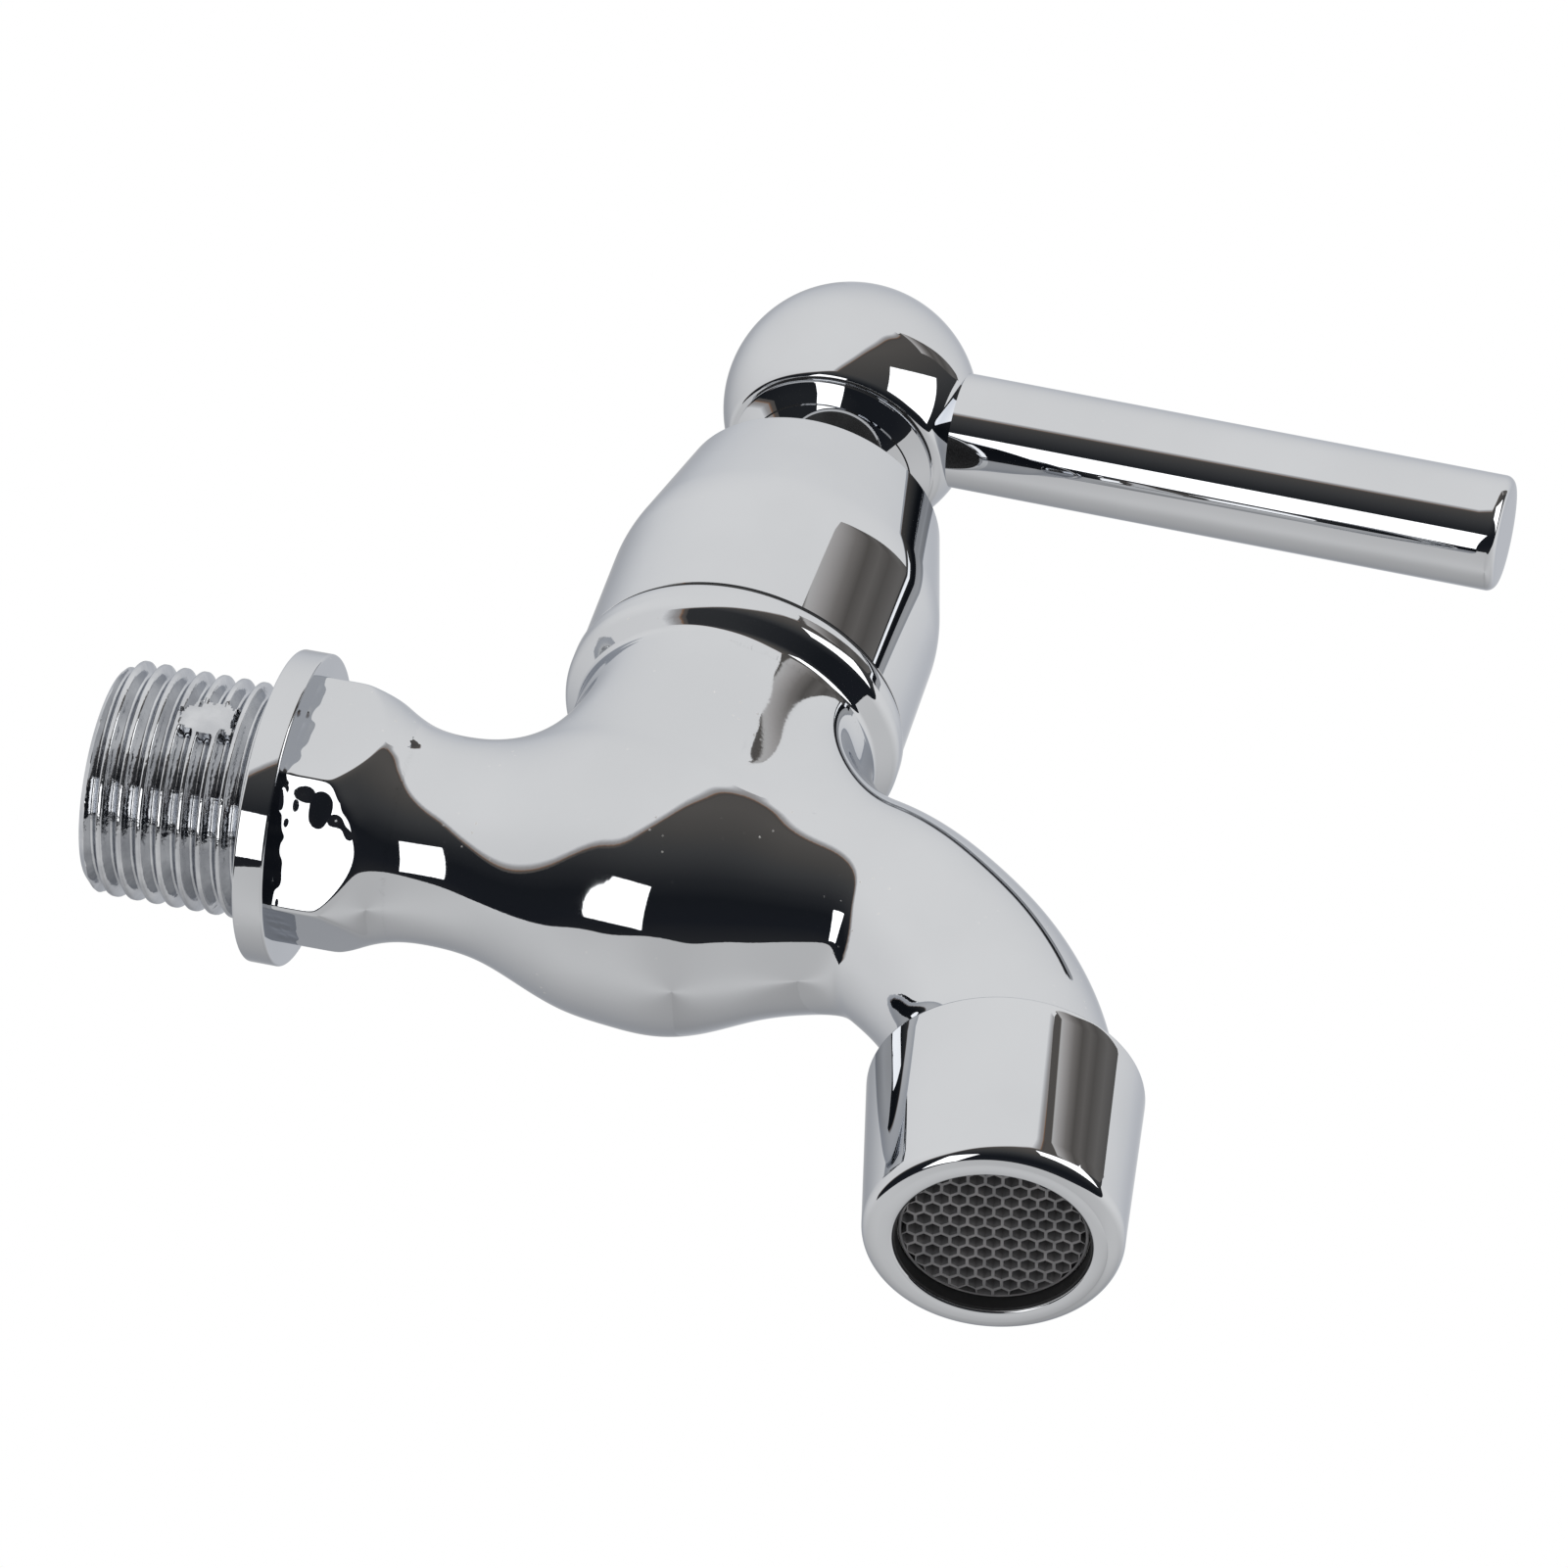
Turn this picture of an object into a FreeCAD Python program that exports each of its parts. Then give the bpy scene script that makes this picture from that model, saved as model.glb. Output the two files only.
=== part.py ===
import FreeCAD, Part
import Sketcher
import math
import os

# Washing machine tap: a wall-mounted quarter-turn tap with a ball-and-rod lever.
# Origin: centre of the back face of the inlet flange, on the inlet axis.
# +X runs along the inlet axis to the spout, +Z up the valve axis, and y = 0 is the mirror plane.

os.makedirs("parts", exist_ok=True)
doc = FreeCAD.newDocument("WashingMachineTap")

# Driving dimensions, in millimetres and degrees
SIZES = {
    # how far cuts run past a face and joined features run into each other
    "past": 1.0,
    "overlap": 0.5,
    # inlet thread, flange and wrench hexagon
    "thread_major_r": 10.4775,
    "thread_len": 15.25,
    "thread_chamfer": 1.0,
    "flange_r": 13.95,
    "flange_thick": 2.78,
    "flange_round": 0.25,
    "hexagon_flats": 21.5,
    "hexagon_end": 11.0,
    "inlet_bore_r": 6.5,
    # valve axis, neck and collar of the casting
    "valve_x": 36.17,
    "neck_r": 13.6,
    "neck_blend_r": 7.5,
    "collar_r": 15.3,
    "collar_top": 21.36,
    "collar_edge": 0.15,
    "collar_side_low": 20.5,
    "collar_round_r": 3.4,
    "collar_turn_r": 14.1,
    "collar_turn_z": 17.9,
    "collar_hollow_r": 2.4,
    "collar_foot_z": 16.0,
    # valve chamber
    "seat_z": 0.5,
    "chamber_r": 8.6,
    "ledge_z": 14.4,
    "ledge_r": 11.2,
    # water passages
    "seat_hole_r": 3.9,
    "seat_hole_low": -6.6,
    # bonnet cover
    "cover_inset": 0.25,
    "cover_cone_z": 35.4,
    "cover_top_z": 47.66,
    "cover_top_r": 12.12,
    "cover_edge": 0.45,
    "cover_shoulder_r": 16.0,
    "cover_roof": 2.2,
    "cover_foot_z": 17.4,
    "cover_spigot_wall": 2.3,
    "cover_side_wall": 2.7,
    "cover_step_high": 1.5,
    "cover_step_low": 0.5,
    "cover_hole_r": 5.0,
    # cartridge
    "skirt_r": 8.3,
    "skirt_bore_r": 7.7,
    "skirt_low": 2.3,
    "cavity_top": 12.8,
    "cartridge_flange_r": 10.9,
    "cartridge_neck_r": 6.8,
    "cartridge_neck_top": 30.0,
    "cartridge_chamfer": 0.5,
    "spindle_bore_r": 4.4,
    "window_wide": 7.0,
    "window_low": 7.6,
    "window_tall": 4.4,
    # ceramic discs, seat washer and seals
    "washer_r": 8.3,
    "washer_bore_r": 4.6,
    "disc_r": 7.6,
    "moving_disc_r": 7.5,
    "fixed_disc_z": 2.3,
    "fixed_disc_thick": 2.5,
    "moving_disc_thick": 2.2,
    "disc_slot_deep": 0.8,
    "disc_slot_over": 2.0,
    "disc_port_r": 2.3,
    "disc_port_out": 4.3,
    "body_seal_cord_r": 0.55,
    "body_seal_z": 13.6,
    "body_seal_slack": 0.05,
    "spindle_seal_cord_r": 0.72,
    "spindle_seal_slack": 0.1,
    # spindle
    "spindle_r": 4.34,
    "spindle_top_r": 3.7,
    "spindle_top_z": 66.0,
    "spindle_chamfer": 0.5,
    "spindle_disc_r": 5.24,
    "spindle_disc_low": 9.0,
    "spindle_step_over_clip": 2.0,
    "spindle_step_tall": 1.0,
    "spindle_foot_long": 13.0,
    "spindle_foot_wide": 4.0,
    "thrust_thick": 0.6,
    "thrust_r": 7.3,
    "seal_low_z": 17.0,
    "seal_high_z": 21.0,
    "clip_clearance": 0.15,
    "clip_thick": 0.7,
    "clip_r": 5.9,
    "clip_bore_r": 3.74,
    "clip_gap_half": 1.6,
    # handle
    "ball_z": 62.26,
    "ball_r": 11.7,
    "ball_cut_z": 55.7,
    "ball_edge": 0.3,
    "spot_face_deep": 3.0,
    "ring_top_r": 9.2,
    "ring_mid_r": 8.05,
    "ring_mid_z": 54.45,
    "ring_step": 0.12,
    "ring_low_r": 6.9,
    "ring_low_z": 53.25,
    "ring_foot_r": 6.6,
    "ring_foot_step": 0.2,
    "ring_rim": 0.1,
    "ring_foot_z": 48.06,
    "ring_spigot_r": 6.2,
    "ring_spigot_top": 58.0,
    "rod_r": 5.3,
    "rod_start": 10.25,
    "rod_end": 61.5,
    "rod_droop": 1.55,
    "rod_edge": 0.9,
    "stud_r": 2.5,
    "stud_start": 3.0,
    "stud_end": 17.0,
    "stud_chamfer": 0.4,
    "stud_hole_start": 2.2,
    # spout outlet and aerator
    "outlet_x": 67.12,
    "outlet_tilt": 10.0,
    "housing_top": 18.32,
    "housing_top_r": 11.95,
    "housing_end": 35.95,
    "housing_end_r": 11.1,
    "housing_round": 1.5,
    "housing_mouth_r": 8.45,
    "housing_edge": 0.2,
    "spout_thread_r": 10.4,
    "spout_thread_end": 27.0,
    "spout_chamfer": 0.5,
    "outlet_bore_r": 7.0,
    "outlet_bore_len": 10.0,
    "aerator_ledge": 29.0,
    "aerator_seat_r": 9.3,
    "lip_inside": 34.3,
    "aerator_washer_thick": 1.0,
    "aerator_washer_r": 10.2,
    "aerator_washer_bore_r": 7.4,
    "jacket_flange_r": 10.0,
    "jacket_r": 9.1,
    "jacket_wall": 0.9,
    "jacket_end": 33.9,
    "honeycomb_r": 8.1,
    "honeycomb_face": 34.55,
    "honeycomb_thick": 2.2,
    "honeycomb_rim": 0.65,
    "cell_pitch": 1.47,
    "cell_flats": 1.2,
    "cell_turn": -7.0,
    "screen_thick": 0.3,
    "screen_gap": 0.5,
    "diffuser_thick": 1.2,
    "diffuser_drop": 0.6,
    "diffuser_hole_r": 0.45,
    "diffuser_ring_r": 6.0,
}

# Sizes that follow others: the cover from the collar it stands on, the clip and the spindle's
# step from the top of the cartridge
TIED = {
    "cover_r": "collar_r - cover_inset",
    "clip_z": "cartridge_neck_top + clip_clearance",
    "spindle_step_low": "clip_z + spindle_step_over_clip",
    "spindle_step_high": "spindle_step_low + spindle_step_tall",
}

# Sections of the casting's run from the flange to the spout end: name, x, height, dip, radius
RUN_SECTIONS = [
    ("flange_face", 2.78, 0.0, 0.0, 13.6),
    ("hexagon_mid", 7.1, 0.0, 0.0, 12.35),
    ("hexagon_edge", 9.9, -0.2, 0.0, 10.8),
    ("waist_start", 12.8, -0.5, 0.0, 9.65),
    ("waist", 16.0, -0.6, 0.0, 9.3),
    ("waist_end", 20.5, -0.5, 0.0, 10.05),
    ("bulb_foot", 24.5, -0.2, 0.0, 11.7),
    ("bulb_side", 28.5, 0.1, 0.0, 13.25),
    ("bulb_back", 32.5, 0.2, 0.0, 13.95),
    ("bulb_front", 36.5, 0.0, 0.0, 14.0),
    ("bulb_fall", 41.0, -0.1, 0.0, 13.0),
    ("throat_start", 45.5, 0.2, 0.0, 11.2),
    ("throat", 50.0, 0.6, 2.0, 9.95),
    ("elbow_start", 54.6, 0.0, 15.0, 9.45),
    ("elbow_high", 59.0, -2.3, 33.0, 9.25),
    ("elbow_mid", 63.3, -5.8, 45.0, 9.25),
    ("elbow_low", 67.2, -10.5, 58.0, 9.2),
    ("elbow_end", 69.6, -15.2, 74.0, 9.35),
    ("spout_end", 70.3, -18.3, 80.0, 9.8),
]

# Sections of the passage from the valve chamber to the outlet: x, height, dip, radius
OUTLET_SECTIONS = [
    ("chamber_side", 40.0, 5.2, 0.0, 4.3),
    ("throat_bore", 48.5, 3.6, 10.0, 4.5),
    ("elbow_bore_high", 55.5, 0.8, 24.0, 4.9),
    ("elbow_bore_mid", 61.8, -4.0, 44.0, 5.3),
    ("elbow_bore_low", 67.0, -10.6, 62.0, 5.7),
    ("outlet_bore", 70.3, -19.0, 80.0, 6.2),
]

# Sections of the passage from the inlet bore to the middle of the seat: x, height, dip, radius
INLET_SECTIONS = [
    ("inlet_end", 10.0, 0.0, 0.0, 6.3),
    ("inlet_fall", 17.0, -1.2, 20.0, 5.4),
    ("inlet_low", 24.0, -4.2, 22.0, 4.5),
    ("under_seat", 31.0, -5.8, 0.0, 4.2),
    ("seat_middle", 37.2, -5.8, 0.0, 4.2),
]

# Jet holes in the diffuser
JET_HOLES = 12

sheet = doc.addObject("Spreadsheet::Sheet", "Sizes")
row = 1


def put(alias, size):
    """Writes one aliased number on the next row of the sheet."""
    global row
    sheet.set("A" + str(row), alias)
    sheet.set("B" + str(row), str(size))
    sheet.setAlias("B" + str(row), alias)
    row += 1


for alias, size in SIZES.items():
    put(alias, size)
for alias, words in TIED.items():
    put(alias, "=" + words)
for station, x, height, dip, radius in RUN_SECTIONS + OUTLET_SECTIONS + INLET_SECTIONS:
    put(station + "_x", x)
    put(station + "_up", height)
    put(station + "_dip", dip)
    put(station + "_radius", radius)
doc.recompute()


def cell(words):
    """An expression on the sheet's aliases, with the sheet's name put before each alias."""
    out = ""
    word = ""
    for letter in words + " ":
        if letter.isalnum() or letter == "_":
            word += letter
            continue
        named = word and not word[0].isdigit() and word not in ("sqrt", "sin", "cos", "deg")
        out += "Sizes." + word if named else word
        out += letter
        word = ""
    return out.strip()


def number(words):
    """The value of an expression on the sheet's aliases."""
    return float(sheet.evalExpression(cell(words)))


def origin_feature(body, role):
    """One of the body's own origin planes or axes."""
    return [item for item in body.Origin.OriginFeatures if item.Role == role][0]


def new_body(name):
    """An empty body labelled with its name."""
    body = doc.addObject("PartDesign::Body", name)
    body.Label = name
    return body


def new_sketch(body, name, role="XZ_Plane"):
    """An empty sketch on one of the body's origin planes."""
    sketch = body.newObject("Sketcher::SketchObject", name)
    sketch.AttachmentSupport = [(origin_feature(body, role), "")]
    sketch.MapMode = "FlatFace"
    return sketch


def bind(sketch, constraint, words):
    """Adds one constraint and ties it to the sheet."""
    index = sketch.addConstraint(constraint)
    sketch.setExpression("Constraints[%d]" % index, cell(words))


def arc_between(start, end, radius, left):
    """A circular arc from start to end; left puts its centre to the left of the way there."""
    chord = end - start
    half = chord.Length / 2
    rise = math.sqrt(max(radius * radius - half * half, 0.0))
    side = FreeCAD.Vector(-chord.y, chord.x, 0).normalize()
    centre = start + chord * 0.5 + side * (rise if left else -rise)
    first, last = (start, end) if left else (end, start)
    turn = math.atan2(first.y - centre.y, first.x - centre.x)
    stop = math.atan2(last.y - centre.y, last.x - centre.x)
    circle = Part.Circle(centre, FreeCAD.Vector(0, 0, 1), radius)
    return Part.ArcOfCircle(circle, turn, stop)


def outline(sketch, corners):
    """A closed outline through corners (across, up, arc), each place tied to the sheet.

    arc is None for a straight side to the next corner, or a radius with "left" or "right",
    the side on which the arc's centre lies.
    """
    places = [FreeCAD.Vector(number(c[0]), number(c[1]), 0) for c in corners]
    ends = []
    for i, corner in enumerate(corners):
        start = places[i]
        end = places[(i + 1) % len(places)]
        if corner[2] is None:
            edge = sketch.addGeometry(Part.LineSegment(start, end), False)
            ends.append((edge, 1, 2))
        else:
            radius, side = corner[2]
            arc = arc_between(start, end, number(radius), side == "left")
            edge = sketch.addGeometry(arc, False)
            ends.append((edge, 1, 2) if side == "left" else (edge, 2, 1))
    for i, corner in enumerate(corners):
        edge, first, last = ends[i]
        after = ends[(i + 1) % len(ends)]
        sketch.addConstraint(Sketcher.Constraint("Coincident", edge, last, after[0], after[1]))
        place = places[i]
        if abs(place.x) < 1e-9:
            sketch.addConstraint(Sketcher.Constraint("PointOnObject", edge, first, -2))
        else:
            bind(sketch, Sketcher.Constraint("DistanceX", -1, 1, edge, first, place.x), corner[0])
        if abs(place.y) < 1e-9:
            sketch.addConstraint(Sketcher.Constraint("PointOnObject", edge, first, -1))
        else:
            bind(sketch, Sketcher.Constraint("DistanceY", -1, 1, edge, first, place.y), corner[1])
        if corner[2] is not None:
            bind(sketch, Sketcher.Constraint("Radius", edge, number(corner[2][0])), corner[2][0])


def straight(*places):
    """Corners joined by straight sides."""
    return [(across, up, None) for across, up in places]


def revolve(body, name, corners, axis="V_Axis", cut=False, shift=None):
    """Turns an outline in the XZ plane about the sketch's own vertical or level axis."""
    sketch = new_sketch(body, name + "_sketch")
    if shift is not None:
        move_sketch(sketch, shift)
    outline(sketch, corners)
    kind = "PartDesign::Groove" if cut else "PartDesign::Revolution"
    turned = body.newObject(kind, name)
    turned.Profile = sketch
    turned.ReferenceAxis = (sketch, [axis])
    turned.Angle = 360
    sketch.Visibility = False
    return turned


def move_sketch(sketch, shift):
    """Moves a sketch in its plane to (x, z), turned by an angle: three sheet expressions."""
    x, z, angle = shift
    turn = FreeCAD.Rotation(FreeCAD.Vector(0, 0, 1), number(angle))
    sketch.AttachmentOffset = FreeCAD.Placement(FreeCAD.Vector(number(x), number(z), 0), turn)
    sketch.setExpression(".AttachmentOffset.Base.x", cell(x))
    sketch.setExpression(".AttachmentOffset.Base.y", cell(z))


def pad(body, name, role, place, draw, length, cut=False, both=False):
    """Pads or pockets what draw puts in a sketch held at place above the origin plane."""
    sketch = new_sketch(body, name + "_sketch", role)
    sketch.AttachmentOffset = FreeCAD.Placement(
        FreeCAD.Vector(0, 0, number(place)), FreeCAD.Rotation())
    sketch.setExpression(".AttachmentOffset.Base.z", cell(place))
    draw(sketch)
    solid = body.newObject("PartDesign::Pocket" if cut else "PartDesign::Pad", name)
    solid.Profile = sketch
    solid.Length = number(length)
    solid.setExpression("Length", cell(length))
    if cut:
        solid.Reversed = True
    if both:
        solid.Midplane = True
    sketch.Visibility = False
    return solid


def circle(sketch, across, up, radius):
    """A circle at (across, up) with its size and place tied to the sheet."""
    middle = FreeCAD.Vector(number(across), number(up), 0)
    ring = Part.Circle(middle, FreeCAD.Vector(0, 0, 1), number(radius))
    index = sketch.addGeometry(ring, False)
    bind(sketch, Sketcher.Constraint("Radius", index, number(radius)), radius)
    if abs(middle.x) < 1e-9:
        sketch.addConstraint(Sketcher.Constraint("PointOnObject", index, 3, -2))
    else:
        bind(sketch, Sketcher.Constraint("DistanceX", -1, 1, index, 3, middle.x), across)
    if abs(middle.y) < 1e-9:
        sketch.addConstraint(Sketcher.Constraint("PointOnObject", index, 3, -1))
    else:
        bind(sketch, Sketcher.Constraint("DistanceY", -1, 1, index, 3, middle.y), up)


def rectangle(sketch, left, right, low, high):
    """A rectangle between four places."""
    outline(sketch, straight((left, low), (right, low), (right, high), (left, high)))


def loft(body, name, sections, cut=False):
    """A smooth loft through round sections on a path in the XZ plane."""
    rings = []
    for station, x, height, dip, radius in sections:
        sketch = new_sketch(body, station + "_ring", "YZ_Plane")
        tilt = FreeCAD.Rotation(FreeCAD.Vector(1, 0, 0), dip)
        sketch.AttachmentOffset = FreeCAD.Placement(FreeCAD.Vector(0, height, x), tilt)
        sketch.setExpression(".AttachmentOffset.Base.y", cell(station + "_up"))
        sketch.setExpression(".AttachmentOffset.Base.z", cell(station + "_x"))
        circle(sketch, "0", "0", station + "_radius")
        sketch.Visibility = False
        rings.append(sketch)
    kind = "PartDesign::SubtractiveLoft" if cut else "PartDesign::AdditiveLoft"
    skin = body.newObject(kind, name)
    skin.Profile = rings[0]
    skin.Sections = rings[1:]
    skin.Ruled = False
    skin.Closed = False
    return skin


def near(place, words):
    """True where a box's side lies at a named place."""
    return abs(place - number(words)) < 0.01


def edges_where(body, test):
    """Names of the edges of a body's tip whose box passes the test."""
    doc.recompute()
    found = []
    for index, edge in enumerate(body.Tip.Shape.Edges):
        if test(edge, edge.BoundBox):
            found.append("Edge%d" % (index + 1))
    return found


def dress(body, kind, name, edges, size, words):
    """A fillet or chamfer on named edges of the body's tip."""
    base = body.Tip
    feature = body.newObject("PartDesign::" + kind, name)
    feature.Base = (base, edges)
    setattr(feature, size, number(words))
    feature.setExpression(size, cell(words))
    return feature


def settled_volume(body):
    """The body's volume once it is up to date, or a stop where one of its features failed."""
    doc.recompute()
    for feature in body.Group:
        if "Invalid" in feature.State or "Error" in feature.State:
            raise RuntimeError(feature.Name + " failed")
    return body.Shape.Volume


def removes(body, before, name):
    """Stops the build when a cut took nothing away."""
    after = settled_volume(body)
    if not after < before - 0.01:
        raise RuntimeError(name + " cut nothing")
    return after


def hexagon_ring(sketch):
    """A wide circle round a hexagon, points up and down, so that a pocket leaves the hexagon."""
    circle(sketch, "0", "0", "flange_r + 2 * past")
    corner = "hexagon_flats / sqrt(3)"
    flat = "hexagon_flats / 2"
    half = "hexagon_flats / (2 * sqrt(3))"
    outline(sketch, straight(
        ("0", corner), ("-(" + flat + ")", half), ("-(" + flat + ")", "-(" + half + ")"),
        ("0", "-(" + corner + ")"), (flat, "-(" + half + ")"), (flat, half)))


def tap_body():
    """The brass casting: thread, flange, hexagon, run with its bulb, neck, collar and spout."""
    body = new_body("tap_body")
    loft(body, "run", RUN_SECTIONS)
    volume = settled_volume(body)
    pad(body, "hexagon_flats", "YZ_Plane", "flange_thick", hexagon_ring,
        "hexagon_end - flange_thick", cut=True)
    removes(body, volume, "hexagon_flats")
    revolve(body, "flange_and_thread", straight(
        ("-thread_len", "0"), ("-thread_len", "thread_major_r - thread_chamfer"),
        ("thread_chamfer - thread_len", "thread_major_r"), ("0", "thread_major_r"),
        ("0", "flange_r - flange_round"), ("flange_round", "flange_r"),
        ("flange_thick - flange_round", "flange_r"), ("flange_thick", "flange_r - flange_round"),
        ("flange_thick", "0")), axis="H_Axis")
    neck_and_collar(body)
    spout_land(body)
    bore_inlet(body)
    bore_chamber(body)
    bore_outlet(body)
    return body


def neck_and_collar(body):
    """The neck under the collar, blended into the bulb all round."""
    revolve(body, "neck", [
        ("0", "seat_z", None), ("neck_r", "seat_z", None),
        ("neck_r", "collar_foot_z", ("collar_hollow_r", "right")),
        ("collar_turn_r", "collar_turn_z", ("collar_round_r", "left")),
        ("collar_r", "collar_side_low", None), ("collar_r", "collar_top - collar_edge", None),
        ("collar_r - collar_edge", "collar_top", None), ("0", "collar_top", None)],
        shift=("valve_x", "0", "0"))
    top = number("collar_foot_z - overlap")
    left = number("valve_x - neck_r - past")
    right = number("valve_x + neck_r + past")
    seams = edges_where(body, lambda edge, box: (
        box.ZMax < top and box.ZMin > -number("past") and box.XMin > left
        and box.XMax < right and box.YLength > number("neck_r") / 2))
    dress(body, "Fillet", "neck_blend", seams, "Radius", "neck_blend_r")


def spout_land(body):
    """The turned end of the spout that carries the aerator housing."""
    revolve(body, "spout_land_turned", straight(
        ("0", "-spout_thread_end"), ("spout_thread_r - spout_chamfer", "-spout_thread_end"),
        ("spout_thread_r", "spout_chamfer - spout_thread_end"), ("spout_thread_r", "-housing_top"),
        ("0", "-housing_top")), shift=("outlet_x", "0", "outlet_tilt"))


def bore_inlet(body):
    """The bore of the inlet, which dips under the valve seat."""
    volume = settled_volume(body)
    revolve(body, "inlet_bore", straight(
        ("-thread_len - past", "0"), ("-thread_len - past", "inlet_bore_r"),
        ("inlet_end_x + overlap", "inlet_bore_r"), ("inlet_end_x + overlap", "0")),
        axis="H_Axis", cut=True)
    volume = removes(body, volume, "inlet_bore")
    loft(body, "inlet_passage", INLET_SECTIONS, cut=True)
    removes(body, volume, "inlet_passage")


def bore_chamber(body):
    """The seat hole, the chamber that holds the cartridge and the bore for the cover's spigot."""
    volume = settled_volume(body)
    revolve(body, "chamber", straight(
        ("0", "seat_hole_low"), ("seat_hole_r", "seat_hole_low"), ("seat_hole_r", "seat_z"),
        ("chamber_r", "seat_z"), ("chamber_r", "ledge_z"), ("ledge_r", "ledge_z"),
        ("ledge_r", "collar_top + past"), ("0", "collar_top + past")),
        cut=True, shift=("valve_x", "0", "0"))
    removes(body, volume, "chamber")


def bore_outlet(body):
    """The passage from the side of the chamber round the elbow to the spout's mouth."""
    volume = settled_volume(body)
    loft(body, "outlet_passage", OUTLET_SECTIONS, cut=True)
    volume = removes(body, volume, "outlet_passage")
    revolve(body, "outlet_mouth", straight(
        ("0", "-spout_thread_end - past"), ("outlet_bore_r", "-spout_thread_end - past"),
        ("outlet_bore_r", "outlet_bore_len - spout_thread_end"),
        ("0", "outlet_bore_len - spout_thread_end")),
        cut=True, shift=("outlet_x", "0", "outlet_tilt"))
    removes(body, volume, "outlet_mouth")


def on_valve(body):
    """Stands a sub-part on the valve axis."""
    body.Placement = FreeCAD.Placement(FreeCAD.Vector(number("valve_x"), 0, 0), FreeCAD.Rotation())
    body.setExpression(".Placement.Base.x", cell("valve_x"))
    return body


def on_outlet(body):
    """Hangs a sub-part on the outlet axis, whose depth counts along its own -Z."""
    turn = FreeCAD.Rotation(FreeCAD.Vector(0, 1, 0), -number("outlet_tilt"))
    body.Placement = FreeCAD.Placement(FreeCAD.Vector(number("outlet_x"), 0, 0), turn)
    body.setExpression(".Placement.Base.x", cell("outlet_x"))
    return body


def bonnet_cover():
    """The hollow cover: a cylinder, a rounded shoulder and a cone, with a spigot below."""
    body = new_body("bonnet_cover")
    inside = "cover_r - cover_side_wall"
    spigot_inside = "ledge_r - cover_spigot_wall"
    revolve(body, "shell", straight(
        ("ledge_r", "cover_foot_z"), ("ledge_r", "collar_top"), ("cover_r", "collar_top"),
        ("cover_r", "cover_cone_z"), ("cover_top_r", "cover_top_z - cover_edge"),
        ("cover_top_r - cover_edge", "cover_top_z"), ("cover_hole_r", "cover_top_z"),
        ("cover_hole_r", "cover_top_z - cover_roof"),
        ("cover_top_r - cover_side_wall", "cover_top_z - cover_roof"),
        (inside, "cover_cone_z"), (inside, "collar_top + cover_step_high"),
        (spigot_inside, "collar_top - cover_step_low"), (spigot_inside, "cover_foot_z")))
    shoulder = edges_where(body, lambda edge, box: (
        near(box.ZMax, "cover_cone_z") and near(box.XMax, "cover_r")))
    dress(body, "Fillet", "shoulder", shoulder, "Radius", "cover_shoulder_r")
    return on_valve(body)


def cartridge_body():
    """The cartridge's brass body: a skirt round the discs, a flange and a neck for the spindle."""
    body = new_body("cartridge_body")
    groove = "chamber_r - 2 * body_seal_cord_r"
    groove_low = "body_seal_z - body_seal_cord_r - body_seal_slack"
    groove_high = "body_seal_z + body_seal_cord_r + body_seal_slack"
    revolve(body, "turned_body", straight(
        ("skirt_bore_r", "skirt_low"), ("skirt_r", "skirt_low"),
        ("skirt_r", groove_low), (groove, groove_low), (groove, groove_high),
        ("skirt_r", groove_high), ("skirt_r", "ledge_z"),
        ("cartridge_flange_r", "ledge_z"), ("cartridge_flange_r", "cover_foot_z"),
        ("cartridge_neck_r", "cover_foot_z"),
        ("cartridge_neck_r", "cartridge_neck_top - cartridge_chamfer"),
        ("cartridge_neck_r - cartridge_chamfer", "cartridge_neck_top"),
        ("spindle_bore_r", "cartridge_neck_top"),
        ("spindle_bore_r", "cavity_top"), ("skirt_bore_r", "cavity_top")))
    volume = settled_volume(body)
    half = "window_wide / 2"
    pad(body, "side_windows", "XZ_Plane", "0", lambda sketch: rectangle(
        sketch, "-(" + half + ")", half, "window_low", "window_low + window_tall"),
        "4 * skirt_r", cut=True, both=True)
    volume = removes(body, volume, "side_windows")
    pad(body, "end_windows", "YZ_Plane", "0", lambda sketch: rectangle(
        sketch, "-(" + half + ")", half, "window_low", "window_low + window_tall"),
        "4 * skirt_r", cut=True, both=True)
    removes(body, volume, "end_windows")
    return on_valve(body)


def seal_ring(name, place_r, place_z, cord):
    """An O-ring as a torus on the valve axis."""
    ring = doc.addObject("Part::Torus", name)
    ring.Label = name
    ring.Radius1 = number(place_r)
    ring.Radius2 = number(cord)
    ring.setExpression("Radius1", cell(place_r))
    ring.setExpression("Radius2", cell(cord))
    place = FreeCAD.Vector(number("valve_x"), 0, number(place_z))
    ring.Placement = FreeCAD.Placement(place, FreeCAD.Rotation())
    ring.setExpression(".Placement.Base.x", cell("valve_x"))
    ring.setExpression(".Placement.Base.z", cell(place_z))
    return ring


def flat_ring(name, inner, outer, low, high, place=on_valve):
    """A plain washer or disc between two heights; inner of None leaves it solid."""
    body = new_body(name)
    inside = "0" if inner is None else inner
    revolve(body, name + "_turned", straight(
        (inside, low), (outer, low), (outer, high), (inside, high)))
    return place(body)


def fixed_disc():
    """The lower ceramic disc, with two ports side by side."""
    body = flat_ring("fixed_ceramic_disc", None, "disc_r", "fixed_disc_z",
                     "fixed_disc_z + fixed_disc_thick")
    volume = settled_volume(body)
    pad(body, "fixed_ports", "XY_Plane", "fixed_disc_z - past",
        lambda sketch: ports(sketch, True), "fixed_disc_thick + 2 * past", cut=True)
    removes(body, volume, "fixed_ports")
    return body


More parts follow.
